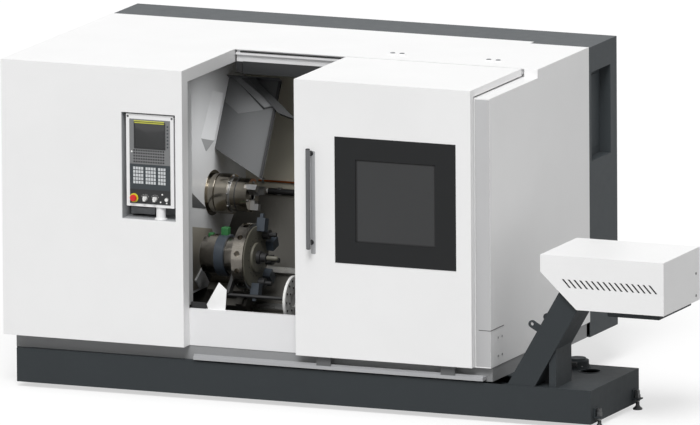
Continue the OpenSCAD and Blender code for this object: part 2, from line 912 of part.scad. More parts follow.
module wall_sheets() {
    clear_n = -centre_h + wall_clear;
    low_z = cab_z + apron_h + wall_lift;
    low_s = (low_z - slant_z(0, clear_n)) / sin(slant);
    high_z = slant_z(bed_top_s, clear_n);
    along_x(wall_x, wall_x + sheet) polygon([[fold_y, low_z], [slant_y(low_s, clear_n), low_z],
        [slant_y(bed_top_s, clear_n), high_z], [splash_y, high_z], [splash_y, cab_h - sheet],
        [fold_y, cab_h - sheet]]);
    // Fold round the control pocket to the flange beside the opening
    block([wall_x, fold_y, low_z], [fold_x, fold_y + sheet, cab_h - sheet]);
    block([fold_x - sheet, lip_d + sheet, low_z], [fold_x, fold_y + sheet, cab_h - sheet]);
}

// Slanted splash panel above the chuck, its lower edge cut off at a slope
module splash_panel() color("gray") placed()
    translate([wall_x + sheet, panel_top_y, panel_top_z]) rotate([panel_slope, 0, 0]) {
        linear_extrude(sheet)
            polygon([[0, 0], [panel_len_x, 0], [panel_len_x, -panel_l - panel_cut], [0, -panel_l]]);
        translate([0, -sheet, sheet]) cube([panel_len_x, sheet, panel_lip]);
    }

// Upright splash wall behind the work space, standing on the bed
module rear_splash() color("dimgray") placed() {
    x1 = bed_x1 + splash_end;
    block([wall_x, splash_y, bed_top_z], [x1, splash_y + sheet, cab_h - sheet]);
    block([wall_x, splash_y + sheet, bed_top_z], [x1, splash_y + flange_w, bed_top_z + sheet]);
}

// Dark cover at the back, open to the machine, with a recess in its right side
module rear_cabinet() color("darkslategray") placed() difference() {
    recess_y = cab_d + recess_gap;
    recess_top = cab_h - recess_drop;
    union() {
        difference() {
            block([0, cab_d, rear_z], [cab_w, rear_y, cab_h - sheet]);
            block([sheet, cab_d - over, rear_z + sheet], [cab_w - sheet, rear_y - sheet, cab_h - 2 * sheet]);
        }
        block([cab_w - recess_d - sheet, recess_y - sheet, recess_top - recess_h - sheet],
            [cab_w, recess_y + recess_w + sheet, recess_top + sheet]);
    }
    block([cab_w - recess_d, recess_y, recess_top - recess_h],
        [cab_w + over, recess_y + recess_w, recess_top]);
}

// Caps over the lifting points, in pairs on the roof behind the door
module roof_plugs() color("dimgray") placed() for (x = plug_x, dx = [0, plug_pitch]) {
    translate([x + dx, notch_d + plug_back, cab_h]) cylinder(r1 = plug_r, r2 = plug_top_r, h = plug_h);
}

module headstock() color("slategray") placed() at_spindle() difference() {
    block([head_x0, -head_s, -centre_h], [head_x1, head_s, head_n]);
    rod_x(head_x0 - over, head_x1 + over, bearing_r);
}

module spindle_bearings() color("silver") placed() at_spindle()
    for (x = [head_x0 + bearing_inset, head_x1 - bearing_inset - bearing_l]) {
        difference() {
            rod_x(x, x + bearing_l, bearing_r);
            rod_x(x - over, x + bearing_l + over, spindle_r);
        }
    }

module spindle() color("silver") placed() at_spindle() difference() {
    union() {
        rod_x(head_x0 - spindle_tail, nose_x, spindle_r - run_gap);
        rod_x(nose_x, chuck_x, nose_r);
    }
    rod_x(head_x0 - spindle_tail - over, chuck_x + over, bar_bore_r);
}

module chuck_body() color("silver") placed() at_spindle() difference() {
    union() {
        rod_x(chuck_x, chuck_x + flange_l, chuck_flange_r);
        rod_x(chuck_x + flange_l, chuck_face, chuck_r);
    }
    rod_x(chuck_x - over, chuck_face + over, bar_bore_r);
    for (i = [0:2]) rotate([120 * i, 0, 0])
        block([chuck_face - jaw_slot, -jaw_w / 2 - guide_gap, 0],
            [chuck_face + over, jaw_w / 2 + guide_gap, chuck_r + over]);
}

// Chuck jaw with its foot in the chuck's slot and two gripping steps
module chuck_jaw(i) color("gray") placed() at_spindle() rotate([120 * i, 0, 0]) {
    step_x = chuck_face + jaw_t / 2;
    block([chuck_face - jaw_slot + guide_gap, -jaw_w / 2, jaw_in], [step_x, jaw_w / 2, jaw_in + jaw_l]);
    block([step_x, -jaw_w / 2, jaw_in + jaw_l / 3], [chuck_face + jaw_t, jaw_w / 2, jaw_in + jaw_l]);
}
module chuck_jaw_1() chuck_jaw(0);
module chuck_jaw_2() chuck_jaw(1);
module chuck_jaw_3() chuck_jaw(2);

// Carriage on the lower rails, with two ways up the slant
module saddle() color("slategray") placed() at_turret() difference() {
    union() {
        block([saddle_x0, -saddle_half, saddle_n0], [saddle_x1, saddle_half, saddle_n1]);
        for (x = [-way_x, way_x]) {
            saddle_way(x, 0);
        }
    }
    for (s = [-lower_s, lower_s]) {
        guide_rail(saddle_x0 - over, saddle_x1 + over, s, guide_gap);
    }
}

module saddle_way(x, grow) {
    mid = (saddle_x0 + saddle_x1) / 2 + x;
    block([mid - way_w / 2 - grow, -saddle_half, saddle_n1],
        [mid + way_w / 2 + grow, saddle_half, saddle_n1 + way_h + grow]);
}

module cross_slide() color("slategray") placed() at_turret() difference() {
    block([house_x, -cross_half, cross_n0], [disc_x - slide_gap, cross_half, cross_n1]);
    for (x = [-way_x, way_x]) {
        saddle_way(x, guide_gap);
    }
}

module turret_housing() color("gray") placed() at_turret() difference() {
    union() {
        rod_x(house_x, disc_x - disc_run, turret_body_r);
        block([house_x, -housing_foot, cross_n1], [disc_x - slide_gap, housing_foot, 0]);
        rod_x(house_x + collar_x, house_x + collar_x + collar_l, collar_r);
    }
    rod_x(disc_x - turret_shaft_l - shaft_end_gap, disc_x, turret_shaft_r + run_gap);
}

// Tool disc with a bore at each station, a face bolt between the stations, and its shaft
module turret_disc() color("silver") placed() at_turret() difference() {
    union() {
        rod_x(disc_x, disc_x + disc_t, disc_r);
        rod_x(disc_x - turret_shaft_l, disc_x, turret_shaft_r);
        rod_x(disc_x + disc_t, disc_x + disc_t + hub_l, hub_r);
    }
    for (i = [0:stations - 1]) rotate([360 / stations * i, 0, 0]) {
        translate([disc_x + disc_t / 2, 0, disc_r - station_depth])
            cylinder(r = station_r, h = station_depth + over);
        rotate([180 / stations, 0, 0]) translate([0, 0, disc_r - face_bolt_in])
            rod_x(disc_x + disc_t - face_bolt_l, disc_x + disc_t + over, face_bolt_r);
    }
}

// Tool blocks clamped on the disc's face, away from the free stations at the front
module tool_blocks() color("darkslategray") placed() at_turret() for (i = [free_stations:2:stations - 1]) {
    rotate([360 / stations * i, 0, 0]) translate([disc_x + disc_t, 0, 0]) {
        block([0, -block_w / 2, block_in], [block_t, block_w / 2, disc_r + block_out]);
        block([bit_x, -bit_w / 2, disc_r + block_out], [bit_x + bit_l, bit_w / 2, tool_reach]);
    }
}

// Boring bar holders on the stations between the tool blocks
module boring_bars() color("black") placed() at_turret() for (i = [free_stations + 1:2:stations - 2]) {
    rotate([360 / stations * i, 0, 0]) translate([disc_x + disc_t, 0, disc_r - holder_in]) {
        rod_x(0, holder_l, holder_r);
        rod_x(holder_l, holder_l + bar_l, bar_r);
    }
}

module sub_headstock() color("slategray") placed() at_spindle() difference() {
    block([sub_x0, -head_s, -centre_h + sub_lift], [sub_x0 + sub_l, head_s, sub_n]);
    rod_x(sub_x0 - over, sub_x0 + sub_l + over, sub_spindle_r);
    for (s = [-upper_s, upper_s]) {
        guide_rail(sub_x0 - over, sub_x0 + sub_l + over, s, guide_gap);
    }
}

// Opposed spindle with its chuck
module sub_spindle() color("silver") placed() at_spindle() difference() {
    union() {
        rod_x(sub_face, sub_face + sub_chuck_l, sub_chuck_r);
        rod_x(sub_face + sub_chuck_l, sub_x0 + sub_l + sub_tail, sub_spindle_r - run_gap);
    }
    rod_x(sub_face - over, sub_x0 + sub_l + sub_tail + over, bar_bore_r);
    for (i = [0:2]) rotate([120 * i + 60, 0, 0])
        block([sub_face - over, -jaw_w / 2, 0], [sub_face + jaw_slot, jaw_w / 2, sub_chuck_r + over]);
}

// Sliding door: folded front, and a roof that runs back over the work space
module door_panel() color("white") placed() {
    x1 = door_x + door_w;
    difference() {
        block([door_x, 0, door_z], [x1, sheet, cab_h]);
        block([win_x + win_lap, -over, win_z + win_lap],
            [win_x + win_w - win_lap, sheet + over, win_z + win_h - win_lap]);
    }
    block([door_x, 0, cab_h - sheet], [x1, door_roof_d, cab_h]);
    block([door_x, 0, door_z], [x1, door_t, door_z + sheet]);
    for (x = [door_x, x1 - sheet]) {
        block([x, 0, door_z], [x + sheet, door_t, cab_h]);
        block([x, 0, cab_h - door_skirt_h], [x + sheet, door_roof_d, cab_h]);
    }
    block([door_x, door_roof_d - sheet, cab_h - door_skirt_h], [x1, door_roof_d, cab_h]);
}

module window_frame() color("black") placed() difference() {
    union() {
        block([win_x, -win_proud, win_z], [win_x + win_w, 0, win_z + win_h]);
        block([win_x + win_lap + seat, 0, win_z + win_lap + seat],
            [win_x + win_w - win_lap - seat, win_in, win_z + win_h - win_lap - seat]);
    }
    block([glass_x, -win_proud - over, glass_z], [glass_x + glass_w, win_in + over, glass_z + glass_h]);
    block([glass_x - glass_lap, win_in - glass_t, glass_z - glass_lap],
        [glass_x + glass_w + glass_lap, win_in + over, glass_z + glass_h + glass_lap]);
}

module window_glass() color("dimgray") placed() {
    lap = glass_lap - seat;
    block([glass_x - lap, win_in - glass_t, glass_z - lap],
        [glass_x + glass_w + lap, win_in, glass_z + glass_h + lap]);
}

module handle_axis() translate([handle_x, -handle_reach - handle_w / 2, 0]) children();

module handle_bar() color("silver") placed() handle_axis() translate([0, 0, handle_z])
    cylinder(r = handle_w / 2, h = handle_len);

module handle_mounts() color("dimgray") placed() difference() {
    for (z = [handle_z + mount_inset, handle_z + handle_len - mount_inset]) {
        translate([handle_x, 0, z]) rod_y(-handle_reach - handle_w / 2, 0, mount_r);
    }
    handle_axis() translate([0, 0, handle_z]) cylinder(r = handle_w / 2 + seat / 4, h = handle_len);
}

// Guide blocks: two on the door's roof, which run on the top rail, and two below the door
module door_guides() color("dimgray") placed()
    for (x = [door_x + guide_inset, door_x + door_w - guide_inset - guide_l]) {
        translate([x, 0, 0]) {
            top_guide();
            lower_guide();
        }
    }

module top_guide() difference() {
    block([0, door_roof_d, top_guide_z - guide_half],
        [guide_l, notch_d + tongue_in, top_guide_z + guide_half]);
    block([-over, notch_d, top_guide_z - tongue_h / 2],
        [guide_l + over, notch_d + tongue_in + over, top_guide_z + tongue_h / 2]);
}

module lower_guide() difference() {
    foot_z = ledge_z + ledge_t + guide_gap;
    block([0, rib_y - lower_guide_front, foot_z], [guide_l, rib_y + lower_guide_back, door_z]);
    block([-over, rib_y - rib_w / 2, foot_z - over], [guide_l + over, rib_y + rib_w / 2, foot_z + rib_h]);
}

module at_pivot() translate([pivot_x, pivot_y, 0]) children();

module control_post() color("white") placed() at_pivot() {
    translate([0, 0, pocket_z]) cylinder(r = post_r, h = panel_z - pocket_z - guide_gap);
    translate([0, 0, pocket_z]) cylinder(r = post_r + post_base_w, h = post_base_t);
    translate([0, 0, panel_z - guide_gap - over]) cylinder(r = pivot_r - run_gap, h = pivot_l + over);
}

// Panel box: a housing with a mouth for the three instrument plates and a boss for the pivot
module control_box() color("white") placed() difference() {
    y0 = panel_setback;
    y1 = panel_setback + panel_d;
    mouth_y = plate_y + plate_t;
    block([panel_x, y0, panel_z], [panel_x + panel_w, y1, panel_z + panel_h]);
    block([plate_x - seat, y0 - over, switch_z - seat],
        [plate_x + plate_w + seat, mouth_y, display_z + display_h + seat]);
    difference() {
        block([plate_x + plate_ledge, mouth_y - over, switch_z + plate_ledge],
            [plate_x + plate_w - plate_ledge, y1 - panel_wall, display_z + display_h - plate_ledge]);
        at_pivot() translate([0, 0, panel_z]) cylinder(r = pivot_r + boss_wall, h = pivot_l + boss_cap);
    }
    at_pivot() translate([0, 0, panel_z - over]) cylinder(r = pivot_r, h = pivot_l + over + pivot_end);
}

module plate(z, h) block([plate_x, plate_y, z], [plate_x + plate_w, plate_y + plate_t, z + h - seat]);

module display_unit() color("gray") placed() difference() {
    plate(display_z, display_h);
    x = plate_x + (plate_w - screen_w) / 2;
    z = display_z + display_h - screen_drop - screen_h;
    block([x, plate_y - over, z], [x + screen_w, plate_y + screen_in, z + screen_h]);
}

module key_panel() color("darkslategray") placed() plate(keys_z, keys_h);

module panel_keys() color("lightgray") placed()
    for (g = [0:2], c = [0:key_columns[g] - 1], r = [0:key_rows - 1]) {
        x = plate_x + key_x[g] + c * key_pitch_x;
        z = keys_z + keys_h - key_top - key_h - r * key_pitch_z;
        block([x, plate_y - key_t, z], [x + key_w, plate_y, z + key_h]);
    }

module at_switch(x) translate([x, plate_y, switch_mid]) children();

module switch_panel() color("black") placed() difference() {
    plate(switch_z, switch_h);
    for (x = [estop_x, knob_left_x, knob_right_x, start_x]) {
        at_switch(x) rod_y(-over, plate_t + over, stem_r);
    }
}

module estop_ring() color("gold") placed() at_switch(estop_x) difference() {
    rod_y(-ring_t, 0, estop_r + ring_w);
    rod_y(-ring_t - over, over, stem_r + stem_gap);
}

// Mushroom head on a stem, with room for its travel behind the head
module estop_button() color("red") placed() at_switch(estop_x) {
    back = -ring_t - estop_travel - stem_gap;
    front = back - estop_head_t;
    rod_y(front, back, estop_r);
    rod_y(front - estop_cap_t, front, estop_cap_r);
    rod_y(back, plate_t, stem_r - run_gap);
}

module knob(x) color("white") placed() at_switch(x) {
    rod_y(-knob_h, -knob_lift, knob_r);
    block([-knob_grip_w / 2, -knob_h - knob_grip_h, -knob_grip_r], [knob_grip_w / 2, -knob_h, knob_grip_r]);
    rod_y(-knob_lift, plate_t - stem_short, stem_r - run_gap);
}
module knob_left() knob(knob_left_x);
module knob_right() knob(knob_right_x);

module start_button() color("white") placed() at_switch(start_x) {
    back = -button_travel - stem_gap;
    rod_y(back - button_h, back, button_r + button_rim);
    rod_y(back, plate_t - stem_short, stem_r - run_gap);
}

// Moves an outline to a place along the rise and square to it
module on_rise(along, out) translate([turn_x, conv_mid_z]) rotate(rise) translate([along, out]) children();

// Side outline of the conveyor at half the given depth: level run, turn, rise and head
module conveyor_outline(half, tail) {
    translate([tail, conv_mid_z - half]) square([turn_x - tail, 2 * half]);
    translate([turn_x, conv_mid_z]) {
        circle(r = half);
        rotate(rise) translate([0, -half]) square([rise_l, 2 * half]);
        rotate(rise) translate([rise_l, 0]) circle(r = half);
    }
}

// Conveyor casing: an open trough in the tank, then a closed rise with an outlet below its head
module conveyor_casing() color("darkslategray") placed() {
    half = conv_h / 2;
    difference() {
        along_y(conv_y0, conv_y1) conveyor_outline(half, conv_tail_x);
        along_y(conv_y0 + conv_wall, conv_y1 - conv_wall)
            conveyor_outline(half - conv_wall, conv_tail_x + conv_wall);
        block([conv_tail_x + conv_wall, conv_y0 + conv_wall, conv_mid_z],
            [turn_x - conv_h, conv_y1 - conv_wall, conv_mid_z + conv_h]);
        along_y(conv_y0 + conv_wall, conv_y1 - conv_wall)
            on_rise(rise_l - outlet_lead, -conv_h) square([outlet_l, outlet_h]);
        translate([head_x, 0, head_z]) rod_y(conv_y0 - over, conv_y1 + over, shaft_r);
        casing_seams(half);
    }
    // Lifting lugs on the rise's upper face
    for (y = [conv_y0 + lug_inset, conv_y1 - lug_inset - lug_t]) {
        along_y(y, y + lug_t) on_rise(lug_s, half) difference() {
            union() {
                translate([-lug_r, 0]) square([2 * lug_r, lug_out]);
                translate([0, lug_out]) circle(r = lug_r);
            }
            translate([0, lug_out]) circle(r = lug_r / 2);
        }
    }
}

// Weld seams along the casing's side plates and across its bend
module casing_seams(half) {
    for (y = [conv_y0 + conv_wall, conv_y1 - conv_wall - seam]) {
        along_y(y, y + seam) conveyor_outline(half + over, conv_tail_x - over);
    }
    along_y(conv_y0 - over, conv_y1 + over) translate([turn_x, conv_mid_z]) rotate(rise / 2)
        translate([-seam / 2, -conv_h]) square([seam, 2 * conv_h]);
}

// Endless belt round the tail and the head, with cleats on its outer side
module conveyor_belt() color("gray") placed() {
    outer = sprocket_r + guide_gap + belt_t;
    difference() {
        along_y(belt_y0, belt_y1) belt_outline(outer);
        along_y(belt_y0 - over, belt_y1 + over) belt_outline(sprocket_r + guide_gap);
    }
    along_y(belt_y0, belt_y1) {
        for (x = [tail_x + cleat_lead:cleat_pitch:turn_x - conv_h]) {
            translate([x, conv_mid_z + outer - over]) square([cleat_t, cleat_h + over]);
        }
        for (s = [conv_h:cleat_pitch / 2:rise_l - cleat_end]) {
            on_rise(s, outer - over) square([cleat_t, cleat_h + over]);
        }
    }
}

module belt_outline(half) {
    translate([tail_x, conv_mid_z]) circle(r = half);
    conveyor_outline(half, tail_x);
}

module conveyor_shaft() color("silver") placed() translate([head_x, 0, head_z]) {
    rod_y(conv_y0 - shaft_out, conv_y1 + gearbox_w - shaft_seat, shaft_r - run_gap);
    for (y = [belt_y0 + sprocket_in, belt_y1 - sprocket_in - sprocket_t]) {
        rod_y(y, y + sprocket_t, sprocket_r);
    }
}

module conveyor_gearmotor() color("slategray") placed() difference() {
    union() {
        block([head_x - gearbox_left, conv_y1, head_z - gearbox_half],
            [head_x + gearbox_right, conv_y1 + gearbox_w, head_z + gearbox_half]);
        translate([head_x + gearbox_right, conv_y1 + gearbox_w / 2 + motor_shift, head_z])
            rod_x(0, motor_l, motor_r);
    }
    translate([head_x, 0, head_z]) rod_y(conv_y1 - over, conv_y1 + gearbox_w - gearbox_cap, shaft_r);
}

// Hood over the conveyor's head: chamfered below on the left, open below on the right, with vents
module hood_outline(inset) {
    top = hood_z - inset;
    low = hood_z - hood_h + inset;
    polygon([[hood_x + inset, top], [hood_x1 - inset, top], [hood_x1 - inset, low],
        [hood_x + hood_chamfer + inset / 2, low], [hood_x + inset, hood_z - hood_left_h + inset / 2]]);
}
module conveyor_hood() color("white") placed() difference() {
    along_y(hood_y, hood_y + hood_d) hood_outline(0);
    along_y(hood_y + hood_sheet, hood_y + hood_d - hood_sheet) hood_outline(hood_sheet);
    block([hood_x + hood_outlet_x, hood_y + hood_rim, hood_z - hood_h - over],
        [hood_x1 - hood_rim, hood_y + hood_d - hood_rim, hood_z - hood_h + 2 * hood_sheet]);
    along_y(conv_y0 - seat, conv_y1 + seat) conveyor_outline(conv_h / 2 + seat, conv_tail_x);
    along_y(hood_y - over, hood_y + hood_sheet + over) for (i = [0:vents - 1]) {
        translate([hood_x + vent_x + i * vent_pitch, hood_z - vent_drop])
            polygon([[0, 0], [vent_w, 0], [vent_w + vent_run, -vent_h], [vent_run, -vent_h]]);
    }
}

// Leg between the tank's top and the underside of the rise
module conveyor_leg() color("darkslategray") placed() {
    x0 = leg_x1 - leg_w;
    z0 = tank_z + (x0 - under_x) * tan(rise) - seat;
    z1 = tank_z + (leg_x1 - under_x) * tan(rise) - seat;
    along_y(conv_y0 + leg_inset, conv_y1 - leg_inset)
        polygon([[x0, tank_z], [leg_x1, tank_z], [leg_x1, z1], [x0, z0]]);
}

coolant_tank();
tank_foot_brackets();
tank_feet();
coolant_pump();
bed();
bed_feet();
plinth();
upper_rails();
lower_rails();
left_cabinet();
rear_roof();
right_cabinet();
service_cover();
cover_screws();
apron();
door_top_rail();
door_lower_rail();
headstock_wall();
splash_panel();
rear_splash();
rear_cabinet();
roof_plugs();
headstock();
spindle_bearings();
spindle();
chuck_body();
chuck_jaw_1();
chuck_jaw_2();
chuck_jaw_3();
saddle();
cross_slide();
turret_housing();
turret_disc();
tool_blocks();
boring_bars();
sub_headstock();
sub_spindle();
door_panel();
window_frame();
window_glass();
handle_bar();
handle_mounts();
door_guides();
control_post();
control_box();
display_unit();
key_panel();
panel_keys();
switch_panel();
estop_ring();
estop_button();
knob_left();
knob_right();
start_button();
conveyor_casing();
conveyor_belt();
conveyor_shaft();
conveyor_gearmotor();
conveyor_hood();
conveyor_leg();
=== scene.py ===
"""Looks of an enclosed turning lathe: finishes, fitted pieces, studio light and camera round its solids."""
import sys
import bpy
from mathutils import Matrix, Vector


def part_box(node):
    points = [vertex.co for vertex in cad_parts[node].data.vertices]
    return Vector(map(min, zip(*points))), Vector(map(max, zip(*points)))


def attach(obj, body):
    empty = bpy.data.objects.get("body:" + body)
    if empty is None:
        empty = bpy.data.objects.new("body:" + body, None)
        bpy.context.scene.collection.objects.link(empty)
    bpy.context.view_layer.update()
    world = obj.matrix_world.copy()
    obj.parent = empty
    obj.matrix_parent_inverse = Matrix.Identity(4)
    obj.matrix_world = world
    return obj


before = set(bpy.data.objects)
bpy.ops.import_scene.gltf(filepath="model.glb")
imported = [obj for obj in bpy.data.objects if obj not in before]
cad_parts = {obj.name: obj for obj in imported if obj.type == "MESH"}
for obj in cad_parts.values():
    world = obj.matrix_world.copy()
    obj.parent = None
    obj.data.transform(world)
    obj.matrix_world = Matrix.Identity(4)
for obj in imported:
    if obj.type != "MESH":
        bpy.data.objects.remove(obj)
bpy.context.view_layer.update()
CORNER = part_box("left_cabinet")[0]

import logging
import math
from collections.abc import Mapping, Sequence
from dataclasses import dataclass, field
from enum import Enum

import bpy
import numpy as np
from mathutils import Matrix, Vector

LOG = logging.getLogger("lathe")
MM = 0.001
Pair = tuple[float, float]
Point = tuple[float, float, float]
Four = tuple[float, float, float, float]
Colour = tuple[int, int, int]
Value = "Sock | float | Sequence[float]"
ORIGIN = np.array((CORNER[0], CORNER[1], 0.0))


def middle(node: str) -> Point:
    """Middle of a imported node's box, in metres of the frame."""
    low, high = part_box(node)
    return (low[0] + high[0]) / 2, (low[1] + high[1]) / 2, (low[2] + high[2]) / 2


def in_frame(point: Point) -> Point:
    """A machine place in millimetres as a place of the frame in metres."""
    place = np.array(point, float) * MM + ORIGIN
    return float(place[0]), float(place[1]), float(place[2])


def linear(colour: Colour) -> Four:
    """Display colour of 0 to 255 as the linear colour that a shader takes.

    Args:
        colour: Red, green and blue as a display shows them.

    Returns:
        Linear red, green, blue and an alpha of 1.
    """
    share = np.asarray(colour, float) / 255
    low, high = share / 12.92, ((share + 0.055) / 1.055) ** 2.4
    red, green, blue = np.where(share <= 0.04045, low, high)
    return float(red), float(green), float(blue), 1.0


def grey(level: float) -> Four:
    """Linear grey of that level."""
    return level, level, level, 1.0


class Sock:
    """A shader socket whose operators add Math nodes to its graph."""

    def __init__(self, graph: "Graph", socket: bpy.types.NodeSocket) -> None:
        """Keeps the socket and the graph it is in."""
        self.graph = graph
        self.socket = socket

    def math(self, operation: str, first: Value, second: Value = 0.0) -> "Sock":
        """Adds a Math node of that operation on the two values."""
        return self.graph.add("ShaderNodeMath", {"operation": operation}, {0: first, 1: second})

    def __add__(self, other: Value) -> "Sock":
        """Sum."""
        return self.math("ADD", self, other)

    def __rsub__(self, other: Value) -> "Sock":
        """Difference with the socket second."""
        return self.math("SUBTRACT", other, self)

    def __mul__(self, other: Value) -> "Sock":
        """Product."""
        return self.math("MULTIPLY", self, other)

    def __truediv__(self, other: Value) -> "Sock":
        """Quotient."""
        return self.math("DIVIDE", self, other)

    def __pow__(self, other: Value) -> "Sock":
        """Power."""
        return self.math("POWER", self, other)

    def wave(self) -> "Sock":
        """Sine of the value, moved to run from 0 to 1."""
        return self.math("SINE", self) * 0.5 + 0.5

    def clamped(self) -> "Sock":
        """Value held between 0 and 1."""
        return self.graph.add("ShaderNodeClamp", {}, {"Value": self})


class Graph:
    """Node tree of a material or of the world."""

    def __init__(self, owner: bpy.types.Material | bpy.types.World) -> None:
        """Takes the owner's node tree and empties it."""
        self.owner = owner
        owner.use_nodes = True
        self.tree = owner.node_tree
        self.tree.nodes.clear()

    def add(self, kind: str, settings: Mapping[str, object], sockets: Mapping[str | int, Value],
            out: str | int = 0) -> Sock:
        """Adds a node.

        Args:
            kind: Type of the node.
            settings: Its own values, set before its sockets.
            sockets: Values or links of its inputs, by name or number.
            out: Output that is returned.

        Returns:
            The chosen output.
        """
        node = self.tree.nodes.new(kind)
        for key, setting in settings.items():
            setattr(node, key, setting)
        for key, value in sockets.items():
            if isinstance(value, Sock):
                self.tree.links.new(value.socket, node.inputs[key])
            else:
                node.inputs[key].default_value = value
        return Sock(self, node.outputs[out])

    def place(self, stretch: Point = (1, 1, 1), centre: Point = (0, 0, 0)) -> Sock:
        """Object coordinates moved to a centre and stretched."""
        here = self.add("ShaderNodeTexCoord", {}, {}, "Object")
        moved = self.add("ShaderNodeVectorMath", {"operation": "SUBTRACT"}, {0: here, 1: centre})
        return self.add("ShaderNodeMapping", {}, {"Vector": moved, "Scale": stretch})

    def axis(self, vector: Sock, letter: str) -> Sock:
        """One of a vector's three parts, X, Y or Z."""
        return self.add("ShaderNodeSeparateXYZ", {}, {"Vector": vector}, letter)

    def noise(self, scale: float, detail: float = 2.0, stretch: Point = (1, 1, 1)) -> Sock:
        """Soft noise of that many waves in a metre, from 0 to 1."""
        sockets = {"Vector": self.place(stretch), "Scale": scale, "Detail": detail}
        return self.add("ShaderNodeTexNoise", {}, sockets, "Fac")

    def blend(self, share: Value, first: Value, second: Value) -> Sock:
        """Mix of two colours."""
        return self.add("ShaderNodeMix", {"data_type": "RGBA"}, {0: share, 6: first, 7: second}, 2)

    def relief(self, height: Sock, strength: float, depth: float) -> Sock:
        """Normal that shows a height as bump."""
        return self.add("ShaderNodeBump", {}, {"Strength": strength, "Distance": depth, "Height": height})

    def finish(self, sockets: Mapping[str | int, Value]) -> bpy.types.Material:
        """Closes the tree with a Principled shader of those sockets."""
        self.close(self.add("ShaderNodeBsdfPrincipled", {}, sockets), "ShaderNodeOutputMaterial")
        return self.owner

    def close(self, shader: Sock, kind: str) -> None:
        """Links a shader to an output of that kind."""
        self.tree.links.new(shader.socket, self.tree.nodes.new(kind).inputs["Surface"])


def shade(colour: Colour, factor: float) -> Four:
    """Linear colour made lighter or darker by a factor."""
    red, green, blue, _ = linear(colour)
    return min(1.0, red * factor), min(1.0, green * factor), min(1.0, blue * factor), 1.0


@dataclass(frozen=True)
class Finish:
    """A surface finish: its name, the record's slot and its display colour."""

    name: str
    slot: str
    colour: Colour
    rough: float = 0.45

    def material(self) -> bpy.types.Material:
        """The finish's material, made at its first use."""
        made = bpy.data.materials.get(self.name)
        return made or self.build(Graph(bpy.data.materials.new(self.name)))

    def tones(self, graph: Graph, share: Sock, low: float, high: float) -> Sock:
        """The finish's colour, from a darker to a lighter shade by a share."""
        return graph.blend(share, shade(self.colour, low), shade(self.colour, high))

    def build(self, graph: Graph) -> bpy.types.Material:
        """Builds the material; each kind of finish has its own."""
        raise NotImplementedError


@dataclass(frozen=True)
class PowderCoat(Finish):
    """Sprayed coat: a faint mottle, the fine peel of the sprayed film and dust that thickens to the floor."""

    mottle: float = 0.03
    peel: float = 0.12
    peel_scale: float = 320.0
    dust: float = 0.05

    def build(self, graph: Graph) -> bpy.types.Material:
        """Builds the coat's material."""
        cloud = graph.noise(2.6, 3.0)
        film = graph.noise(self.peel_scale, 2.0)
        low = (1.0 - graph.axis(graph.place(), "Z") / 0.6).clamped()
        dusty = (low * graph.noise(9.0, 4.0) * self.dust * 2.0).clamped()
        coat = self.tones(graph, cloud, 1 - self.mottle, 1 + self.mottle)
        colour = graph.blend(dusty, coat, shade(self.colour, 0.72))
        return graph.finish({
            "Base Color": colour,
            "Roughness": graph.noise(18.0, 3.0) * 0.12 + (self.rough - 0.06) + dusty * 0.3,
            "Normal": graph.relief(film, self.peel, 0.0006),
            "Specular IOR Level": 0.4,
        })


@dataclass(frozen=True)
class CastPaint(Finish):
    """Paint over a rough casting: a coarse skin with pits, worn lighter on its high spots."""

    grain: float = 120.0
    depth: float = 0.002

    def build(self, graph: Graph) -> bpy.types.Material:
        """Builds the casting's material."""
        skin = graph.noise(self.grain, 5.0)
        stain = graph.noise(5.0, 4.0)
        return graph.finish({
            "Base Color": self.tones(graph, stain * 0.6 + skin * 0.4, 0.82, 1.18),
            "Roughness": skin * 0.2 + (self.rough - 0.1),
            "Normal": graph.relief(skin, 0.35, self.depth),
        })


@dataclass(frozen=True)
class BrushedSteel(Finish):
    """Ground or brushed steel: long fine scratches along one direction, with smears of oil."""

    stretch: Point = (6, 260, 260)

    def build(self, graph: Graph) -> bpy.types.Material:
        """Builds the steel's material."""
        scratch = graph.noise(1.0, 4.0, self.stretch)
        smear = graph.noise(14.0, 3.0)
        return graph.finish({
            "Base Color": self.tones(graph, scratch * 0.5 + smear * 0.5, 0.85, 1.15),
            "Roughness": scratch * 0.18 + smear * 0.12 + (self.rough - 0.15),
            "Metallic": 1.0,
            "Normal": graph.relief(scratch, 0.1, 0.0004),
        })


@dataclass(frozen=True)
class TurnedSteel(Finish):
    """Steel turned on a lathe: fine rings round an axis along X, broken by a little tarnish."""

    centre: Point = (0, 0, 0)
    pitch: float = 0.0012

    def build(self, graph: Graph) -> bpy.types.Material:
        """Builds the turned steel's material."""
        here = graph.place(centre=self.centre)
        along, up = graph.axis(here, "Y"), graph.axis(here, "Z")
        radius = (along * along + up * up) ** 0.5
        rings = (radius * (2 * math.pi / self.pitch)).wave()
        tarnish = graph.noise(22.0, 4.0)
        return graph.finish({
            "Base Color": self.tones(graph, tarnish, 0.8, 1.16),
            "Roughness": rings * 0.06 + tarnish * 0.14 + (self.rough - 0.1),
            "Metallic": 1.0,
            "Normal": graph.relief(rings, 0.06, 0.0002),
        })


@dataclass(frozen=True)
class Plastic(Finish):
    """Moulded plastic: a fine spark-eroded grain and the faint shine of touched places."""

    grain: float = 900.0
    coat: float = 0.0
    gloss: float = 0.5

    def build(self, graph: Graph) -> bpy.types.Material:
        """Builds the plastic's material."""
        skin = graph.noise(self.grain, 2.0)
        touch = graph.noise(30.0, 3.0)
        return graph.finish({
            "Base Color": self.tones(graph, touch, 0.93, 1.07),
            "Roughness": touch * 0.16 + (self.rough - 0.08),
            "Coat Weight": self.coat,
            "Specular IOR Level": self.gloss,
            "Normal": graph.relief(skin, 0.12, 0.0003),
        })


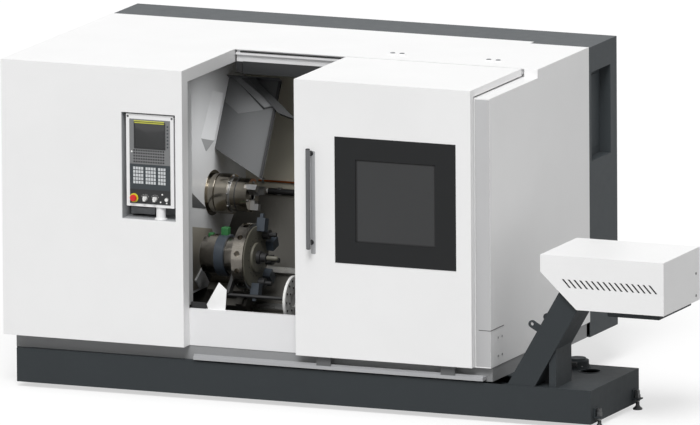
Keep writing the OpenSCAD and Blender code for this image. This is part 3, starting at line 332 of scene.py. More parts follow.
@dataclass(frozen=True)
class TintedGlass(Finish):
    """Dark safety glass: a smooth face with wiped smears that show only in its gloss."""

    def build(self, graph: Graph) -> bpy.types.Material:
        """Builds the glass's material."""
        smear = graph.noise(6.0, 4.0, (1.0, 1.0, 0.25))
        depth = graph.noise(1.6, 2.0)
        return graph.finish({
            "Base Color": self.tones(graph, depth, 0.94, 1.06),
            "Roughness": smear * 0.14 + self.rough,
            "Coat Weight": 0.35,
            "Coat Roughness": 0.08,
        })


@dataclass(frozen=True)
class Rubber(Finish):
    """Moulded rubber: dull, with a dry bloom."""

    def build(self, graph: Graph) -> bpy.types.Material:
        """Builds the rubber's material."""
        bloom = graph.noise(45.0, 4.0)
        return graph.finish({
            "Base Color": self.tones(graph, bloom, 0.85, 1.2),
            "Roughness": bloom * 0.15 + (self.rough - 0.05),
            "Normal": graph.relief(graph.noise(600.0, 2.0), 0.2, 0.0004),
        })


@dataclass(frozen=True)
class Screen(Finish):
    """Display that is switched off: a dark panel with a fine lattice under a clear face."""

    def build(self, graph: Graph) -> bpy.types.Material:
        """Builds the display's material."""
        here = graph.place()
        rows = (graph.axis(here, "Z") * 4200.0).wave()
        columns = (graph.axis(here, "X") * 4200.0).wave()
        glow = graph.noise(7.0, 2.0)
        return graph.finish({
            "Base Color": self.tones(graph, rows * columns * 0.3 + glow * 0.5, 0.8, 1.25),
            "Roughness": glow * 0.1 + self.rough,
            "Coat Weight": 0.6,
            "Coat Roughness": 0.05,
        })


class Facing(Enum):
    """Side that a piece faces: its own right, its up and its outward direction."""

    FRONT = ((1, 0, 0), (0, 0, 1), (0, -1, 0))
    BACK = ((-1, 0, 0), (0, 0, 1), (0, 1, 0))
    RIGHT = ((0, 1, 0), (0, 0, 1), (1, 0, 0))
    LEFT = ((0, -1, 0), (0, 0, 1), (-1, 0, 0))
    TOP = ((1, 0, 0), (0, 1, 0), (0, 0, 1))
    UNDER = ((1, 0, 0), (0, -1, 0), (0, 0, -1))

    def basis(self) -> np.ndarray:
        """The three directions as rows."""
        return np.array(self.value, float)


@dataclass
class Surface:
    """Closed surface: vertices in machine millimetres and faces as lists of vertex numbers."""

    verts: np.ndarray
    faces: list[list[int]]

    @classmethod
    def loft(cls, rings: np.ndarray, wrap: bool = False) -> "Surface":
        """Grid of ring number by place on the ring, joined by quads.

        Args:
            rings: Points of shape (rings, points, 3), each ring closed on itself.
            wrap: Joins the last ring to the first; otherwise a face closes each end.

        Returns:
            The closed surface.
        """
        count, around, _ = rings.shape
        row = np.arange(count if wrap else count - 1)[:, None]
        column = np.arange(around)[None, :]
        after, beside = (row + 1) % count, (column + 1) % around
        here, there = row * around, after * around
        corners = [here + column, here + beside, there + beside, there + column]
        faces = np.stack(corners, -1).reshape(-1, 4).tolist()
        if not wrap:
            faces.append(np.arange(around)[::-1].tolist())
            faces.append((np.arange(around) + (count - 1) * around).tolist())
        return cls(rings.reshape(-1, 3), faces)

    @classmethod
    def joined(cls, *parts: "Surface") -> "Surface":
        """Several closed surfaces as one piece, each facing outwards."""
        starts = np.cumsum([0] + [len(part.verts) for part in parts])
        faces = [[corner + int(start) for corner in face]
                 for part, start in zip(parts, starts) for face in part.outward().faces]
        return cls(np.concatenate([part.verts for part in parts]), faces)

    def at(self, places: Sequence[Point]) -> "Surface":
        """Copies of the surface, moved by each of the places."""
        return Surface.joined(*(Surface(self.verts + np.array(place, float), self.faces) for place in places))

    def outward(self) -> "Surface":
        """The surface with its faces turned outwards."""
        return self if self.volume() > 0 else Surface(self.verts, [face[::-1] for face in self.faces])

    def volume(self) -> float:
        """Signed volume, from the cone of each face's fan of triangles to the origin."""
        fans = np.array([(face[0], face[k], face[k + 1])
                         for face in self.faces for k in range(1, len(face) - 1)])
        first, second, third = (self.verts[fans[:, k]] for k in range(3))
        return float(np.einsum("ij,ij->", first, np.cross(second, third)) / 6)


def outline(width: float, height: float, radius: float, steps: int = 5) -> np.ndarray:
    """Rectangle with a quarter circle at each corner, anticlockwise round its middle.

    Args:
        width: Size along the first axis.
        height: Size along the second axis.
        radius: Corner radius.
        steps: Chords in each quarter circle.

    Returns:
        Points of shape (4 * (steps + 1), 2).
    """
    turn = np.radians(np.arange(4)[:, None] * 90 + np.linspace(0, 90, steps + 1)[None, :])
    across = np.array([1, -1, -1, 1])[:, None] * (width / 2 - radius) + radius * np.cos(turn)
    upward = np.array([1, 1, -1, -1])[:, None] * (height / 2 - radius) + radius * np.sin(turn)
    return np.stack([across, upward], -1).reshape(-1, 2)


def circle(count: int) -> np.ndarray:
    """Points of a unit circle, anticlockwise."""
    turn = np.linspace(0, 2 * np.pi, count, endpoint=False)
    return np.stack([np.cos(turn), np.sin(turn)], -1)


def stacked(facing: Facing, seat: Point, flat: np.ndarray, out: np.ndarray, wrap: bool = False) -> Surface:
    """Surface through flat outlines, each lifted off the seat by its own height.

    Args:
        facing: Side that the outlines face.
        seat: Middle of the seat.
        flat: Outlines of shape (rings, points, 2).
        out: Height of each outline.
        wrap: Joins the last outline to the first.

    Returns:
        The surface.
    """
    height = np.broadcast_to(out[:, None, None], flat.shape[:2] + (1,))
    rings = np.concatenate([flat, height], -1)
    return Surface.loft(np.array(seat, float) + rings @ facing.basis(), wrap)


def inset_outlines(size: Pair, corner: float, inset: Sequence[float]) -> np.ndarray:
    """Rounded rectangles of one size, each drawn in by its own inset."""
    return np.stack([outline(size[0] - 2 * d, size[1] - 2 * d, max(corner - d, 0.05)) for d in inset])


def slab(facing: Facing, seat: Point, size: Pair, depth: float, corner: float = 2.0,
         edge: float = 1.0) -> Surface:
    """Plate on a seat: a rounded outline carried outwards, drawn in along a quarter circle at its front edge.

    Args:
        facing: Side that the plate faces.
        seat: Middle of the plate's back.
        size: Width and height.
        depth: Thickness.
        corner: Radius of the outline's corners.
        edge: Radius of the front edge.

    Returns:
        The plate.
    """
    turn = np.radians(np.linspace(0, 90, 4))
    inset = np.concatenate([[0.0], edge * (1 - np.cos(turn))])
    out = np.concatenate([[0.0], depth - edge + edge * np.sin(turn)])
    return stacked(facing, seat, inset_outlines(size, corner, inset), out)


def turned(facing: Facing, seat: Point, profile: Sequence[Pair], count: int = 28) -> Surface:
    """Turned piece: each point of a profile, radius and height, carried once round the facing's axis.

    Args:
        facing: Direction of the axis.
        seat: Place of the profile's height 0 on the axis.
        profile: Radii and heights, from the seat outwards.
        count: Chords in the circle.

    Returns:
        The piece, with a flat face at each end.
    """
    line = np.array(profile, float)
    return stacked(facing, seat, line[:, None, :1] * circle(count)[None], line[:, 1])


def tube(path: Sequence[Point], radius: float, count: int = 12) -> Surface:
    """Round bar or hose: a circle square to the path's direction, carried along the path.

    Args:
        path: Points of the middle line.
        radius: Radius of the circle.
        count: Chords in the circle.

    Returns:
        The bar, closed at both ends.
    """
    along = np.gradient(np.asarray(path, float), axis=0)
    along /= np.linalg.norm(along, axis=1, keepdims=True)
    spare = np.eye(3)[np.argmin(np.abs(along).mean(axis=0))]
    side = np.cross(along, spare)
    side /= np.linalg.norm(side, axis=1, keepdims=True)
    over = np.cross(along, side)
    first, second = (circle(count)[None, :, k:k + 1] for k in range(2))
    rings = np.asarray(path)[:, None, :] + radius * (first * side[:, None] + second * over[:, None])
    return Surface.loft(rings)


def prism(corners: Sequence[Point], push: Point, edge: float = 0.03) -> Surface:
    """Flat outline carried along a push, drawn in a little towards its middle at the far end.

    Args:
        corners: Corners of the outline in order.
        push: Direction and thickness.
        edge: Share of the outline by which the far end is drawn in.

    Returns:
        The plate.
    """
    base = np.array(corners, float)
    step = np.array(push, float)
    top = base + step
    drawn = top + (top.mean(axis=0) - top) * edge
    return Surface.loft(np.stack([base, base + step * 0.85, drawn]))


def rim(facing: Facing, seat: Point, size: Pair, width: float, depth: float,
        corner: float = 4.0) -> Surface:
    """Frame on a seat: a low section with drawn-in shoulders, carried round a rounded rectangle.

    Args:
        facing: Side that the frame faces.
        seat: Middle of the frame's back.
        size: Outer width and height.
        width: Width of the frame's bar.
        depth: Height of the bar.
        corner: Outer corner radius.

    Returns:
        The frame.
    """
    edge = min(width, depth) * 0.3
    inset = (0, 0, edge, width - edge, width, width)
    out = np.array((0, depth - edge, depth, depth, depth - edge, 0.0))
    return stacked(facing, seat, inset_outlines(size, corner, inset), out, wrap=True)


def collar(facing: Facing, seat: Point, inner: float, outer: float, height: float,
           count: int = 36) -> Surface:
    """Ring on a seat: the section between two radii with drawn-in shoulders, carried once round the axis.

    Args:
        facing: Direction of the axis.
        seat: Middle of the ring's back.
        inner: Radius of the hole.
        outer: Radius of the ring.
        height: Height of the ring.
        count: Chords in the circle.

    Returns:
        The ring.
    """
    edge = min(outer - inner, height) * 0.25
    radius = np.array((outer, outer, outer - edge, inner + edge, inner, inner))
    out = np.array((0, height - edge, height, height, height - edge, 0.0))
    return stacked(facing, seat, radius[:, None, None] * circle(count)[None], out, wrap=True)


def louvre(facing: Facing, seat: Point, width: float, height: float, out: float) -> Surface:
    """Pressed louvre: a quarter wave that rises from the sheet to a lip, carried across its width.

    Args:
        facing: Side that the sheet faces.
        seat: Middle of the louvre on the sheet.
        width: Length of the lip.
        height: Height on the sheet.
        out: How far the lip stands out.

    Returns:
        The louvre.
    """
    share = np.linspace(0, 1, 7)
    up = np.concatenate([height / 2 - height * share, [-height / 2 + 0.2]])
    rise = np.concatenate([out * np.sin(share * np.pi / 2), [0.0]])
    ends = np.array((-width / 2, -width / 2 + out, width / 2 - out, width / 2))
    swell = np.array((0.05, 1.0, 1.0, 0.05))
    rings = np.stack([np.stack([np.full_like(up, x), up, rise * s + 0.01], -1) for x, s in zip(ends, swell)])
    return Surface.loft(np.array(seat, float) + rings @ facing.basis())


def wedge(first: Sequence[Point], second: Sequence[Point]) -> Surface:
    """Solid between two outlines of as many corners, joined corner by corner."""
    return Surface.loft(np.array([first, second], float))


def spread(start: Point, step: Point, count: int) -> list[Point]:
    """Places in a row from a start, each a step on from the last."""
    places = np.array(start, float) + np.arange(count)[:, None] * np.array(step, float)
    return [tuple(place) for place in places.tolist()]


def round_x(radius: float, count: int, first: float = 0.0) -> list[Point]:
    """Places on a circle round an axis along X, from an angle in degrees."""
    turn = np.radians(first + np.arange(count) * 360 / count)
    return [(0.0, radius * math.cos(angle), radius * math.sin(angle)) for angle in turn]


def put(name: str, data: bpy.types.ID) -> bpy.types.Object:
    """Puts a mesh, lamp or camera into the scene as an object of that name."""
    thing = bpy.data.objects.new(name, data)
    bpy.context.scene.collection.objects.link(thing)
    return thing


@dataclass
class Workshop:
    """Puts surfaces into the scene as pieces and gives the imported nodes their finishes."""

    made: list[str] = field(default_factory=list)

    def dress(self, finish: Finish, *nodes: str) -> None:
        """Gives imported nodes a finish."""
        for node in nodes:
            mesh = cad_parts[node].data
            mesh.materials.clear()
            mesh.materials.append(finish.material())
            LOG.info("dressed %s in %s", node, finish.name)

    def fit(self, name: str, surface: Surface, finish: Finish, body: str = "frame",
            crease: float = 32.0) -> None:
        """Makes a piece of a surface.

        Args:
            name: Name of the piece.
            surface: Its closed surface.
            finish: Its finish.
            body: Body that it rides on.
            crease: Angle in degrees above which an edge stays sharp.
        """
        faces = surface.outward().faces
        mesh = bpy.data.meshes.new(name)
        mesh.from_pydata((surface.verts * MM + ORIGIN).tolist(), [], faces)
        mesh.update()
        mesh.shade_smooth()
        mesh.set_sharp_from_angle(angle=math.radians(crease))
        mesh.materials.append(finish.material())
        piece = put(name, mesh)
        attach(piece, body)
        self.made.append(name)
        LOG.info("fitted %s with %d faces on %s", name, len(faces), body)


@dataclass
class Studio:
    """Pale floor, soft light from above and in front, and a far camera with a long lens."""

    azimuth: float = 23.085
    elevation: float = 10.691
    roll: float = -0.41
    aim: Point = (1892.8, 800.0, 1034.5)
    away: float = 115.0
    frame_width: float = 4.1346
    sensor: float = 36.0
    floor_half: float = 60.0
    floor_greys: Pair = (0.40, 0.41)
    floor_glow: float = 0.59
    fill: float = 0.5
    sun: float = 2.35
    sun_angle: float = 28.0
    sun_from: Point = (0.11, -0.456, 0.598)
    bounce: float = 0.45
    work_light: float = 1.35
    work_light_at: Point = (1560.0, 600.0, 1640.0)
    work_light_on: Point = (1014.0, 620.0, 1230.0)
    work_light_size: float = 0.5
    work_light_spread: float = 110.0

    def build(self) -> None:
        """Sets the view transform and builds the floor, the light and the camera."""
        bpy.context.scene.view_settings.view_transform = "Standard"
        self.floor()
        self.world()
        self.lamp()
        self.work_lamp()
        self.camera()

    def floor(self) -> None:
        """Square floor on a grid of two parameters, white to the camera and pale to the light."""
        side = np.linspace(-self.floor_half, self.floor_half, 3)
        across, back = np.meshgrid(side, side)
        verts = np.stack([across, back, np.zeros_like(across)], -1).reshape(-1, 3)
        row, column = np.divmod(np.arange(4), 2)
        first = row * 3 + column
        corners = np.stack([first, first + 1, first + 4, first + 3], -1)
        mesh = bpy.data.meshes.new("studio_floor")
        mesh.from_pydata(verts.tolist(), [], corners.tolist())
        graph = Graph(bpy.data.materials.new("studio_floor"))
        speck = graph.noise(3.0, 2.0)
        seen = graph.add("ShaderNodeLightPath", {}, {}, "Is Camera Ray")
        pale = graph.blend(speck, *map(grey, self.floor_greys))
        colour = graph.blend(seen, grey(self.bounce), pale)
        glow = graph.blend(seen, grey(0.0), grey(self.floor_glow))
        mesh.materials.append(graph.finish({"Base Color": colour, "Roughness": 0.9, "Specular IOR Level": 0.0,
                                            "Emission Color": glow, "Emission Strength": 1.0}))
        plane = put("studio_floor", mesh)

    def world(self) -> None:
        """White surroundings: full strength to a camera, glossy or clear ray, weaker as light."""
        world = bpy.data.worlds.new("studio_white")
        bpy.context.scene.world = world
        graph = Graph(world)
        camera, glossy, clear = (graph.add("ShaderNodeLightPath", {}, {}, f"Is {ray} Ray")
                                 for ray in ("Camera", "Glossy", "Transmission"))
        seen = camera.math("MAXIMUM", camera, glossy.math("MAXIMUM", glossy, clear))
        strength = graph.add("ShaderNodeMapRange", {}, {"Value": seen, "To Min": self.fill, "To Max": 1.0})
        sky = graph.add("ShaderNodeBackground", {}, {"Color": grey(1.0), "Strength": strength})
        graph.close(sky, "ShaderNodeOutputWorld")

    def lamp(self) -> None:
        """Wide sun, so that its shadows are soft."""
        light = bpy.data.lights.new("studio_sun", "SUN")
        light.energy = self.sun
        light.angle = math.radians(self.sun_angle)
        lamp = put("studio_sun", light)
        lamp.rotation_euler = Vector(self.sun_from).to_track_quat("Z", "Y").to_euler()

    def work_lamp(self) -> None:
        """Soft lamp of the work space, aimed at the headstock wall."""
        light = bpy.data.lights.new("work_lamp", "AREA")
        light.energy = self.work_light
        light.shape = "DISK"
        light.size = self.work_light_size
        light.spread = math.radians(self.work_light_spread)
        lamp = put("work_lamp", light)
        here, there = Vector(in_frame(self.work_light_at)), Vector(in_frame(self.work_light_on))
        lamp.location = here
        lamp.rotation_euler = (here - there).to_track_quat("Z", "Y").to_euler()
        lamp.visible_camera = False

    def camera(self) -> None:
        """Camera on the line of sight, turned a little about it."""
        turn, lift = math.radians(self.azimuth), math.radians(self.elevation)
        sight = Vector((math.sin(turn) * math.cos(lift), -math.cos(turn) * math.cos(lift), math.sin(lift)))
        lens = bpy.data.cameras.new("studio_camera")
        lens.sensor_width = self.sensor
        lens.lens = self.sensor * self.away / self.frame_width
        lens.clip_start, lens.clip_end = 1.0, 600.0
        camera = put("studio_camera", lens)
        spin = Matrix.Rotation(math.radians(self.roll), 4, "Z")
        camera.matrix_world = (Matrix.Translation(Vector(in_frame(self.aim)) + sight * self.away)
                               @ sight.to_track_quat("Z", "Y").to_matrix().to_4x4() @ spin)
        bpy.context.scene.camera = camera


WHITE = PowderCoat("white_powder_coat", "white_paint", (240, 240, 240), 0.42)
# Slightly darker copy of the white coat: painted shade on the apron and the door's top rail.
APRON_SHADED = PowderCoat("apron_shaded_coat", "white_paint", (230, 230, 231), 0.45)
# Grey copy of the white coat: painted shade on the set-back front beside the door.
CORNER_SHADE = PowderCoat("corner_shade_coat", "white_paint", (186, 186, 187), 0.5)
DARK = PowderCoat("dark_powder_coat", "dark_paint", (45, 50, 53), 0.6, 0.08, 0.3, 520.0)
REAR = PowderCoat("rear_powder_coat", "dark_paint", (64, 69, 72), 0.55, 0.07, 0.3, 520.0)
GREY = PowderCoat("grey_powder_coat", "grey_paint", (128, 130, 132), 0.5, mottle=0.06)
SKIRT = PowderCoat("skirt_powder_coat", "grey_paint", (146, 147, 148), 0.55, mottle=0.06)
LEDGE = PowderCoat("ledge_powder_coat", "grey_paint", (172, 173, 175), 0.5, mottle=0.04)
LINER = PowderCoat("pocket_liner_coat", "grey_paint", (168, 170, 172), 0.6, mottle=0.05)
WALL = PowderCoat("headstock_wall_sheet", "splash_grey", (200, 201, 202), 0.4, mottle=0.04, peel=0.05)
# Darker copy of the wall's sheet: painted shadow under the cover on the headstock wall.
COVER_SHADOW = PowderCoat("cover_shadow_sheet", "splash_grey", (150, 151, 152), 0.4, mottle=0.05, peel=0.05)
# Dark copy of the work space's sheet: painted shade on the slanted splash panel and on a triangle of the
# headstock wall.
SHADE = PowderCoat("work_space_shade_sheet", "splash_grey", (80, 81, 82), 0.45, mottle=0.08, peel=0.08)
GUARD = PowderCoat("work_space_guard_coat", "splash_grey", (146, 141, 130), 0.5, mottle=0.07)
RAIL = PowderCoat("rail_guard_coat", "splash_grey", (44, 45, 46), 0.5, mottle=0.06)
CASTING = CastPaint("painted_casting", "casting", (64, 62, 57), 0.55)
REAR_WALL = PowderCoat("rear_splash_sheet", "splash_grey", (176, 172, 158), 0.45, mottle=0.08, peel=0.05)
FACET = PowderCoat("panel_facet_sheet", "splash_grey", (104, 105, 106), 0.4, mottle=0.05, peel=0.05)
OLIVE = CastPaint("oiled_casting", "casting", (92, 90, 80), 0.5, grain=200.0, depth=0.001)
STEEL = BrushedSteel("ground_steel", "steel", (150, 150, 150), 0.4)
BOLT = BrushedSteel("bolt_steel", "steel", (112, 113, 114), 0.42, stretch=(300, 300, 300))
COPPER = BrushedSteel("copper_pipe", "steel", (186, 104, 58), 0.34, stretch=(8, 320, 320))
WAYS = BrushedSteel("way_steel", "steel", (170, 170, 168), 0.3, stretch=(3, 400, 400))
# Its warm beige tint is a painted reflection of beige surroundings on the turned steel.
CHROME_PAINTED_REFLECTION = TurnedSteel("chuck_steel_painted_reflection", "chrome", (150, 144, 133), 0.15, centre=middle("chuck_body"))
DISC = TurnedSteel("turned_disc_steel", "chrome", (146, 141, 133), 0.22, centre=middle("turret_disc"))
TOOL_BLACK = Plastic("blackened_tool_steel", "tool_black", (38, 38, 39), 0.4, grain=500.0)
# Grey darkened for painted shade, so the guide blocks look shadowed under the door.
GUIDE_SHADE = Plastic("guide_block_shade_coat", "tool_black", (96, 97, 98), 0.55, grain=500.0)
TOOL_SLATE = Plastic("slate_tool_steel", "tool_slate", (50, 57, 65), 0.42, grain=500.0)
GREEN = Plastic("green_fitting", "tool_slate", (38, 98, 52), 0.45, grain=600.0)
BLACK = Plastic("black_moulding", "black_plastic", (44, 45, 46), 0.45)
FRAME = Plastic("window_frame_moulding", "black_plastic", (33, 34, 35), 0.6, gloss=0.25)
GASKET = Rubber("black_rubber", "black_plastic", (30, 30, 31), 0.75)
GLASS = TintedGlass("dark_safety_glass", "window_glass", (52, 53, 54), 0.12)
DISPLAY = Plastic("display_housing", "display_grey", (122, 123, 124), 0.5)
SCREEN = Screen("display_screen", "display_grey", (42, 43, 44), 0.2)
HANDLE = Plastic("handle_bar_coat", "display_grey", (104, 105, 107), 0.4, grain=400.0)
# Grey of the painted shadow that the handle casts on the door.
HANDLE_SHADOW = Plastic("handle_shadow_strip_coat", "display_grey", (160, 161, 163), 0.5)
SLATE = Plastic("key_panel_film", "slate_plastic", (56, 62, 66), 0.5)
KEYS = Plastic("pale_key_caps", "key_plastic", (205, 208, 210), 0.5)
WHITE_PLASTIC = Plastic("white_moulding", "white_plastic", (240, 240, 238), 0.4)
RED = Plastic("red_moulding", "red_plastic", (214, 40, 40), 0.35, coat=0.3)
YELLOW = Plastic("yellow_moulding", "yellow_plastic", (222, 210, 56), 0.45)
YELLOW_FILM = Plastic("yellow_strip_film", "yellow_plastic", (194, 194, 78), 0.5)


@dataclass
class Enclosure:
    """White covers of the machine with the rails, skirt and rear cabinet that carry them."""

    width: float = 3100.0
    back: float = 2019.0
    roof: float = 1971.0
    plugs: tuple[float, ...] = (2108.0, 2168.0, 2722.0, 2782.0)
    plug_back: float = 955.0
    corner_front: float = 55.0
    side_door: Pair = (640.0, 1180.0)
    side_door_at: Point = (0.0, 700.0, 1160.0)
    side_pitch: float = 34.0
    rear_door: Pair = (1420.0, 1500.0)
    rear_doors_x: Pair = (790.0, 2310.0)
    rear_doors_z: float = 1120.0
    rear_pitch: float = 36.0
    cover_seam: float = 540.5
    recess_floor: float = 3030.0

    def build(self, shop: Workshop) -> None:
        """Dresses the covers and fits their small pieces."""
        shop.dress(WHITE, "left_cabinet", "rear_roof", "right_cabinet", "service_cover", "roof_plugs")
        # The apron and the door's top rail take the white darkened by painted shade.
        shop.dress(APRON_SHADED, "apron", "door_top_rail")
        shop.dress(REAR, "rear_cabinet")
        shop.dress(SKIRT, "plinth")
        shop.dress(LEDGE, "door_lower_rail")
        shop.dress(STEEL, "cover_screws")
        self.roof_buttons(shop)
        self.corner_cover(shop)
        self.left_side(shop)
        self.rear_side(shop)
        self.connections(shop)

    def roof_buttons(self, shop: Workshop) -> None:
        """Fits the grey button on the flange of each roof plug."""
        button = turned(Facing.TOP, (0, 0, 8), ((15, 0), (15, 2), (13, 4)), 32)
        shop.fit("roof_plug_buttons", button.at([(x, self.plug_back, self.roof) for x in self.plugs]), GREY)

    def corner_cover(self, shop: Workshop) -> None:
        """Fits a grey sheet of painted shade on the set-back front and the seams of the corner cover below
        it.
        """
        # The sheet's grey is painted shade on the white set-back front.
        sheet = slab(Facing.FRONT, (3053, self.corner_front, 1119), (92, 1590), 1.2, 1, 0.5)
        shop.fit("corner_front_shade_sheet", sheet, CORNER_SHADE)
        seams = Surface.joined(
            slab(Facing.FRONT, (3062.5, self.corner_front, self.cover_seam), (76, 4), 1.4, 0.8, 0.5),
            slab(Facing.RIGHT, (self.width, 155, self.cover_seam), (201, 4), 1.2, 0.8, 0.5))
        shop.fit("corner_cover_seams", seams, GASKET)

    def left_side(self, shop: Workshop) -> None:
        """Fits the service door of the left side with its seal, hinges, latches and louvres."""
        wide, high = self.side_door
        x, y, z = self.side_door_at
        seal = rim(Facing.LEFT, (x, y, z), (wide + 14, high + 14), 9, 2.5, 16)
        shop.fit("side_door_seal", seal, GASKET)
        shop.fit("side_door", slab(Facing.LEFT, (x, y, z), (wide, high), 6, 12, 2.5), WHITE)
        hinge = turned(Facing.TOP, (-6, y + wide / 2 + 12, z), ((7, -40), (9, -37), (9, 37), (7, 40)), 18)
        shop.fit("side_door_hinges", hinge.at([(0, 0, dz) for dz in (-420, 0, 420)]), STEEL)
        edge = y - wide / 2 + 60
        latch = Surface.joined(slab(Facing.LEFT, (-6, edge, z), (44, 110), 7, 10, 3),
                               slab(Facing.LEFT, (-13, edge, z), (18, 78), 8, 6, 3))
        shop.fit("side_door_latches", latch.at([(0, 0, dz) for dz in (-300, 300)]), BLACK)
        leaf = louvre(Facing.LEFT, (0, 1330, 760), 300, 20, 9)
        shop.fit("side_louvres", leaf.at(spread((0, 0, 0), (0, 0, self.side_pitch), 9)), WHITE)
        foot = louvre(Facing.LEFT, (-6, y, 690), 360, 20, 8)
        shop.fit("side_door_louvres", foot.at(spread((0, 0, 0), (0, 0, self.side_pitch), 6)), WHITE)

    def rear_side(self, shop: Workshop) -> None:
        """Fits the two doors of the rear cabinet with their seals, hinges, locks and louvres."""
        wide, high = self.rear_door
        centres = [(x, self.back, self.rear_doors_z) for x in self.rear_doors_x]
        seal = rim(Facing.BACK, (0, 0, 0), (wide + 16, high + 16), 10, 2.5, 18)
        shop.fit("rear_door_seals", seal.at(centres), GASKET)
        shop.fit("rear_doors", slab(Facing.BACK, (0, 0, 0), (wide, high), 7, 12, 3).at(centres), REAR)
        hinge = turned(Facing.TOP, (0, 7, 0),
                       ((7, -45), (10, -41), (10, 41), (7, 45)), 18)
        places = [(x + side * (wide / 2 + 14), y, z + dz) for (x, y, z), side in zip(centres, (-1, 1))
                  for dz in (-560, 0, 560)]
        shop.fit("rear_door_hinges", hinge.at(places), STEEL)
        lock = Surface.joined(
            slab(Facing.BACK, (0, 7, 0), (42, 170), 8, 12, 3),
            slab(Facing.BACK, (0, 15, 12), (22, 120), 10, 8, 4),
            turned(Facing.BACK, (0, 15, -66), ((9, 0), (9, 4), (7, 6)), 18))
        locks = [(x - side * (wide / 2 - 60), y, z) for (x, y, z), side in zip(centres, (-1, 1))]
        shop.fit("rear_door_locks", lock.at(locks), BLACK)
        leaf = louvre(Facing.BACK, (0, 7, 0), 420, 22, 10)
        shop.fit("rear_louvres", leaf.at([(x + dx, y, z - 560 + self.rear_pitch * k) for x, y, z in centres
                                          for dx in (-260, 260) for k in range(8)]), REAR)

    def connections(self, shop: Workshop) -> None:
        """Fits the plain connection plate in the recess of the rear cabinet."""
        plate = slab(Facing.RIGHT, (self.recess_floor, 1770, 1547), (236, 440), 4, 6, 1.2)
        shop.fit("connection_plate", plate, REAR)


@dataclass
class Door:
    """Sliding door with its window, its handle and a strip of painted shadow beside the handle."""

    # Place and size of the grey strip of painted shadow beside the handle.
    strip: Pair = (1998.5, 1242.5)
    handle_shadow_size: Pair = (29.0, 613.0)
    handle: Pair = (1987.0, -47.5)
    handle_ends: Pair = (975.0, 1566.0)
    window: Pair = (2522.5, 1270.0)
    window_size: Pair = (506.0, 493.0)
    body: str = "door"

    def build(self, shop: Workshop) -> None:
        """Dresses the door and fits its small pieces."""
        shop.dress(WHITE, "door_panel")
        shop.dress(FRAME, "window_frame")
        # The guide blocks wear a grey of painted shade.
        shop.dress(GUIDE_SHADE, "door_guides")
        shop.dress(GLASS, "window_glass")
        shop.dress(HANDLE, "handle_bar")
        shop.dress(BLACK, "handle_mounts")
        # A grey strip on the door is the handle's painted shadow.
        x, z = self.strip
        strip = slab(Facing.FRONT, (x, 0, z), self.handle_shadow_size, 1.6, 6, 0.8)
        shop.fit("handle_shadow_strip", strip, HANDLE_SHADOW, self.body)
        x, y = self.handle
        low, high = self.handle_ends
        profile = ((13.5, 0), (13.5, 2), (11, 4.5), (6, 5.5))
        caps = Surface.joined(turned(Facing.TOP, (x, y, high), profile),
                              turned(Facing.UNDER, (x, y, low), profile))
        shop.fit("handle_caps", caps, BLACK, self.body)
        rosette = turned(Facing.FRONT, (x, 0, 0), ((16, 0), (16, 2.5), (13, 4.5), (9.6, 5)))
        shop.fit("handle_rosettes", rosette.at([(0, 0, low + 30), (0, 0, high - 30)]), BLACK, self.body)
        x, z = self.window
        gasket = rim(Facing.FRONT, (x, 6, z), self.window_size, 8, 2.5, 14)
        shop.fit("window_gasket", gasket, GASKET, self.body)


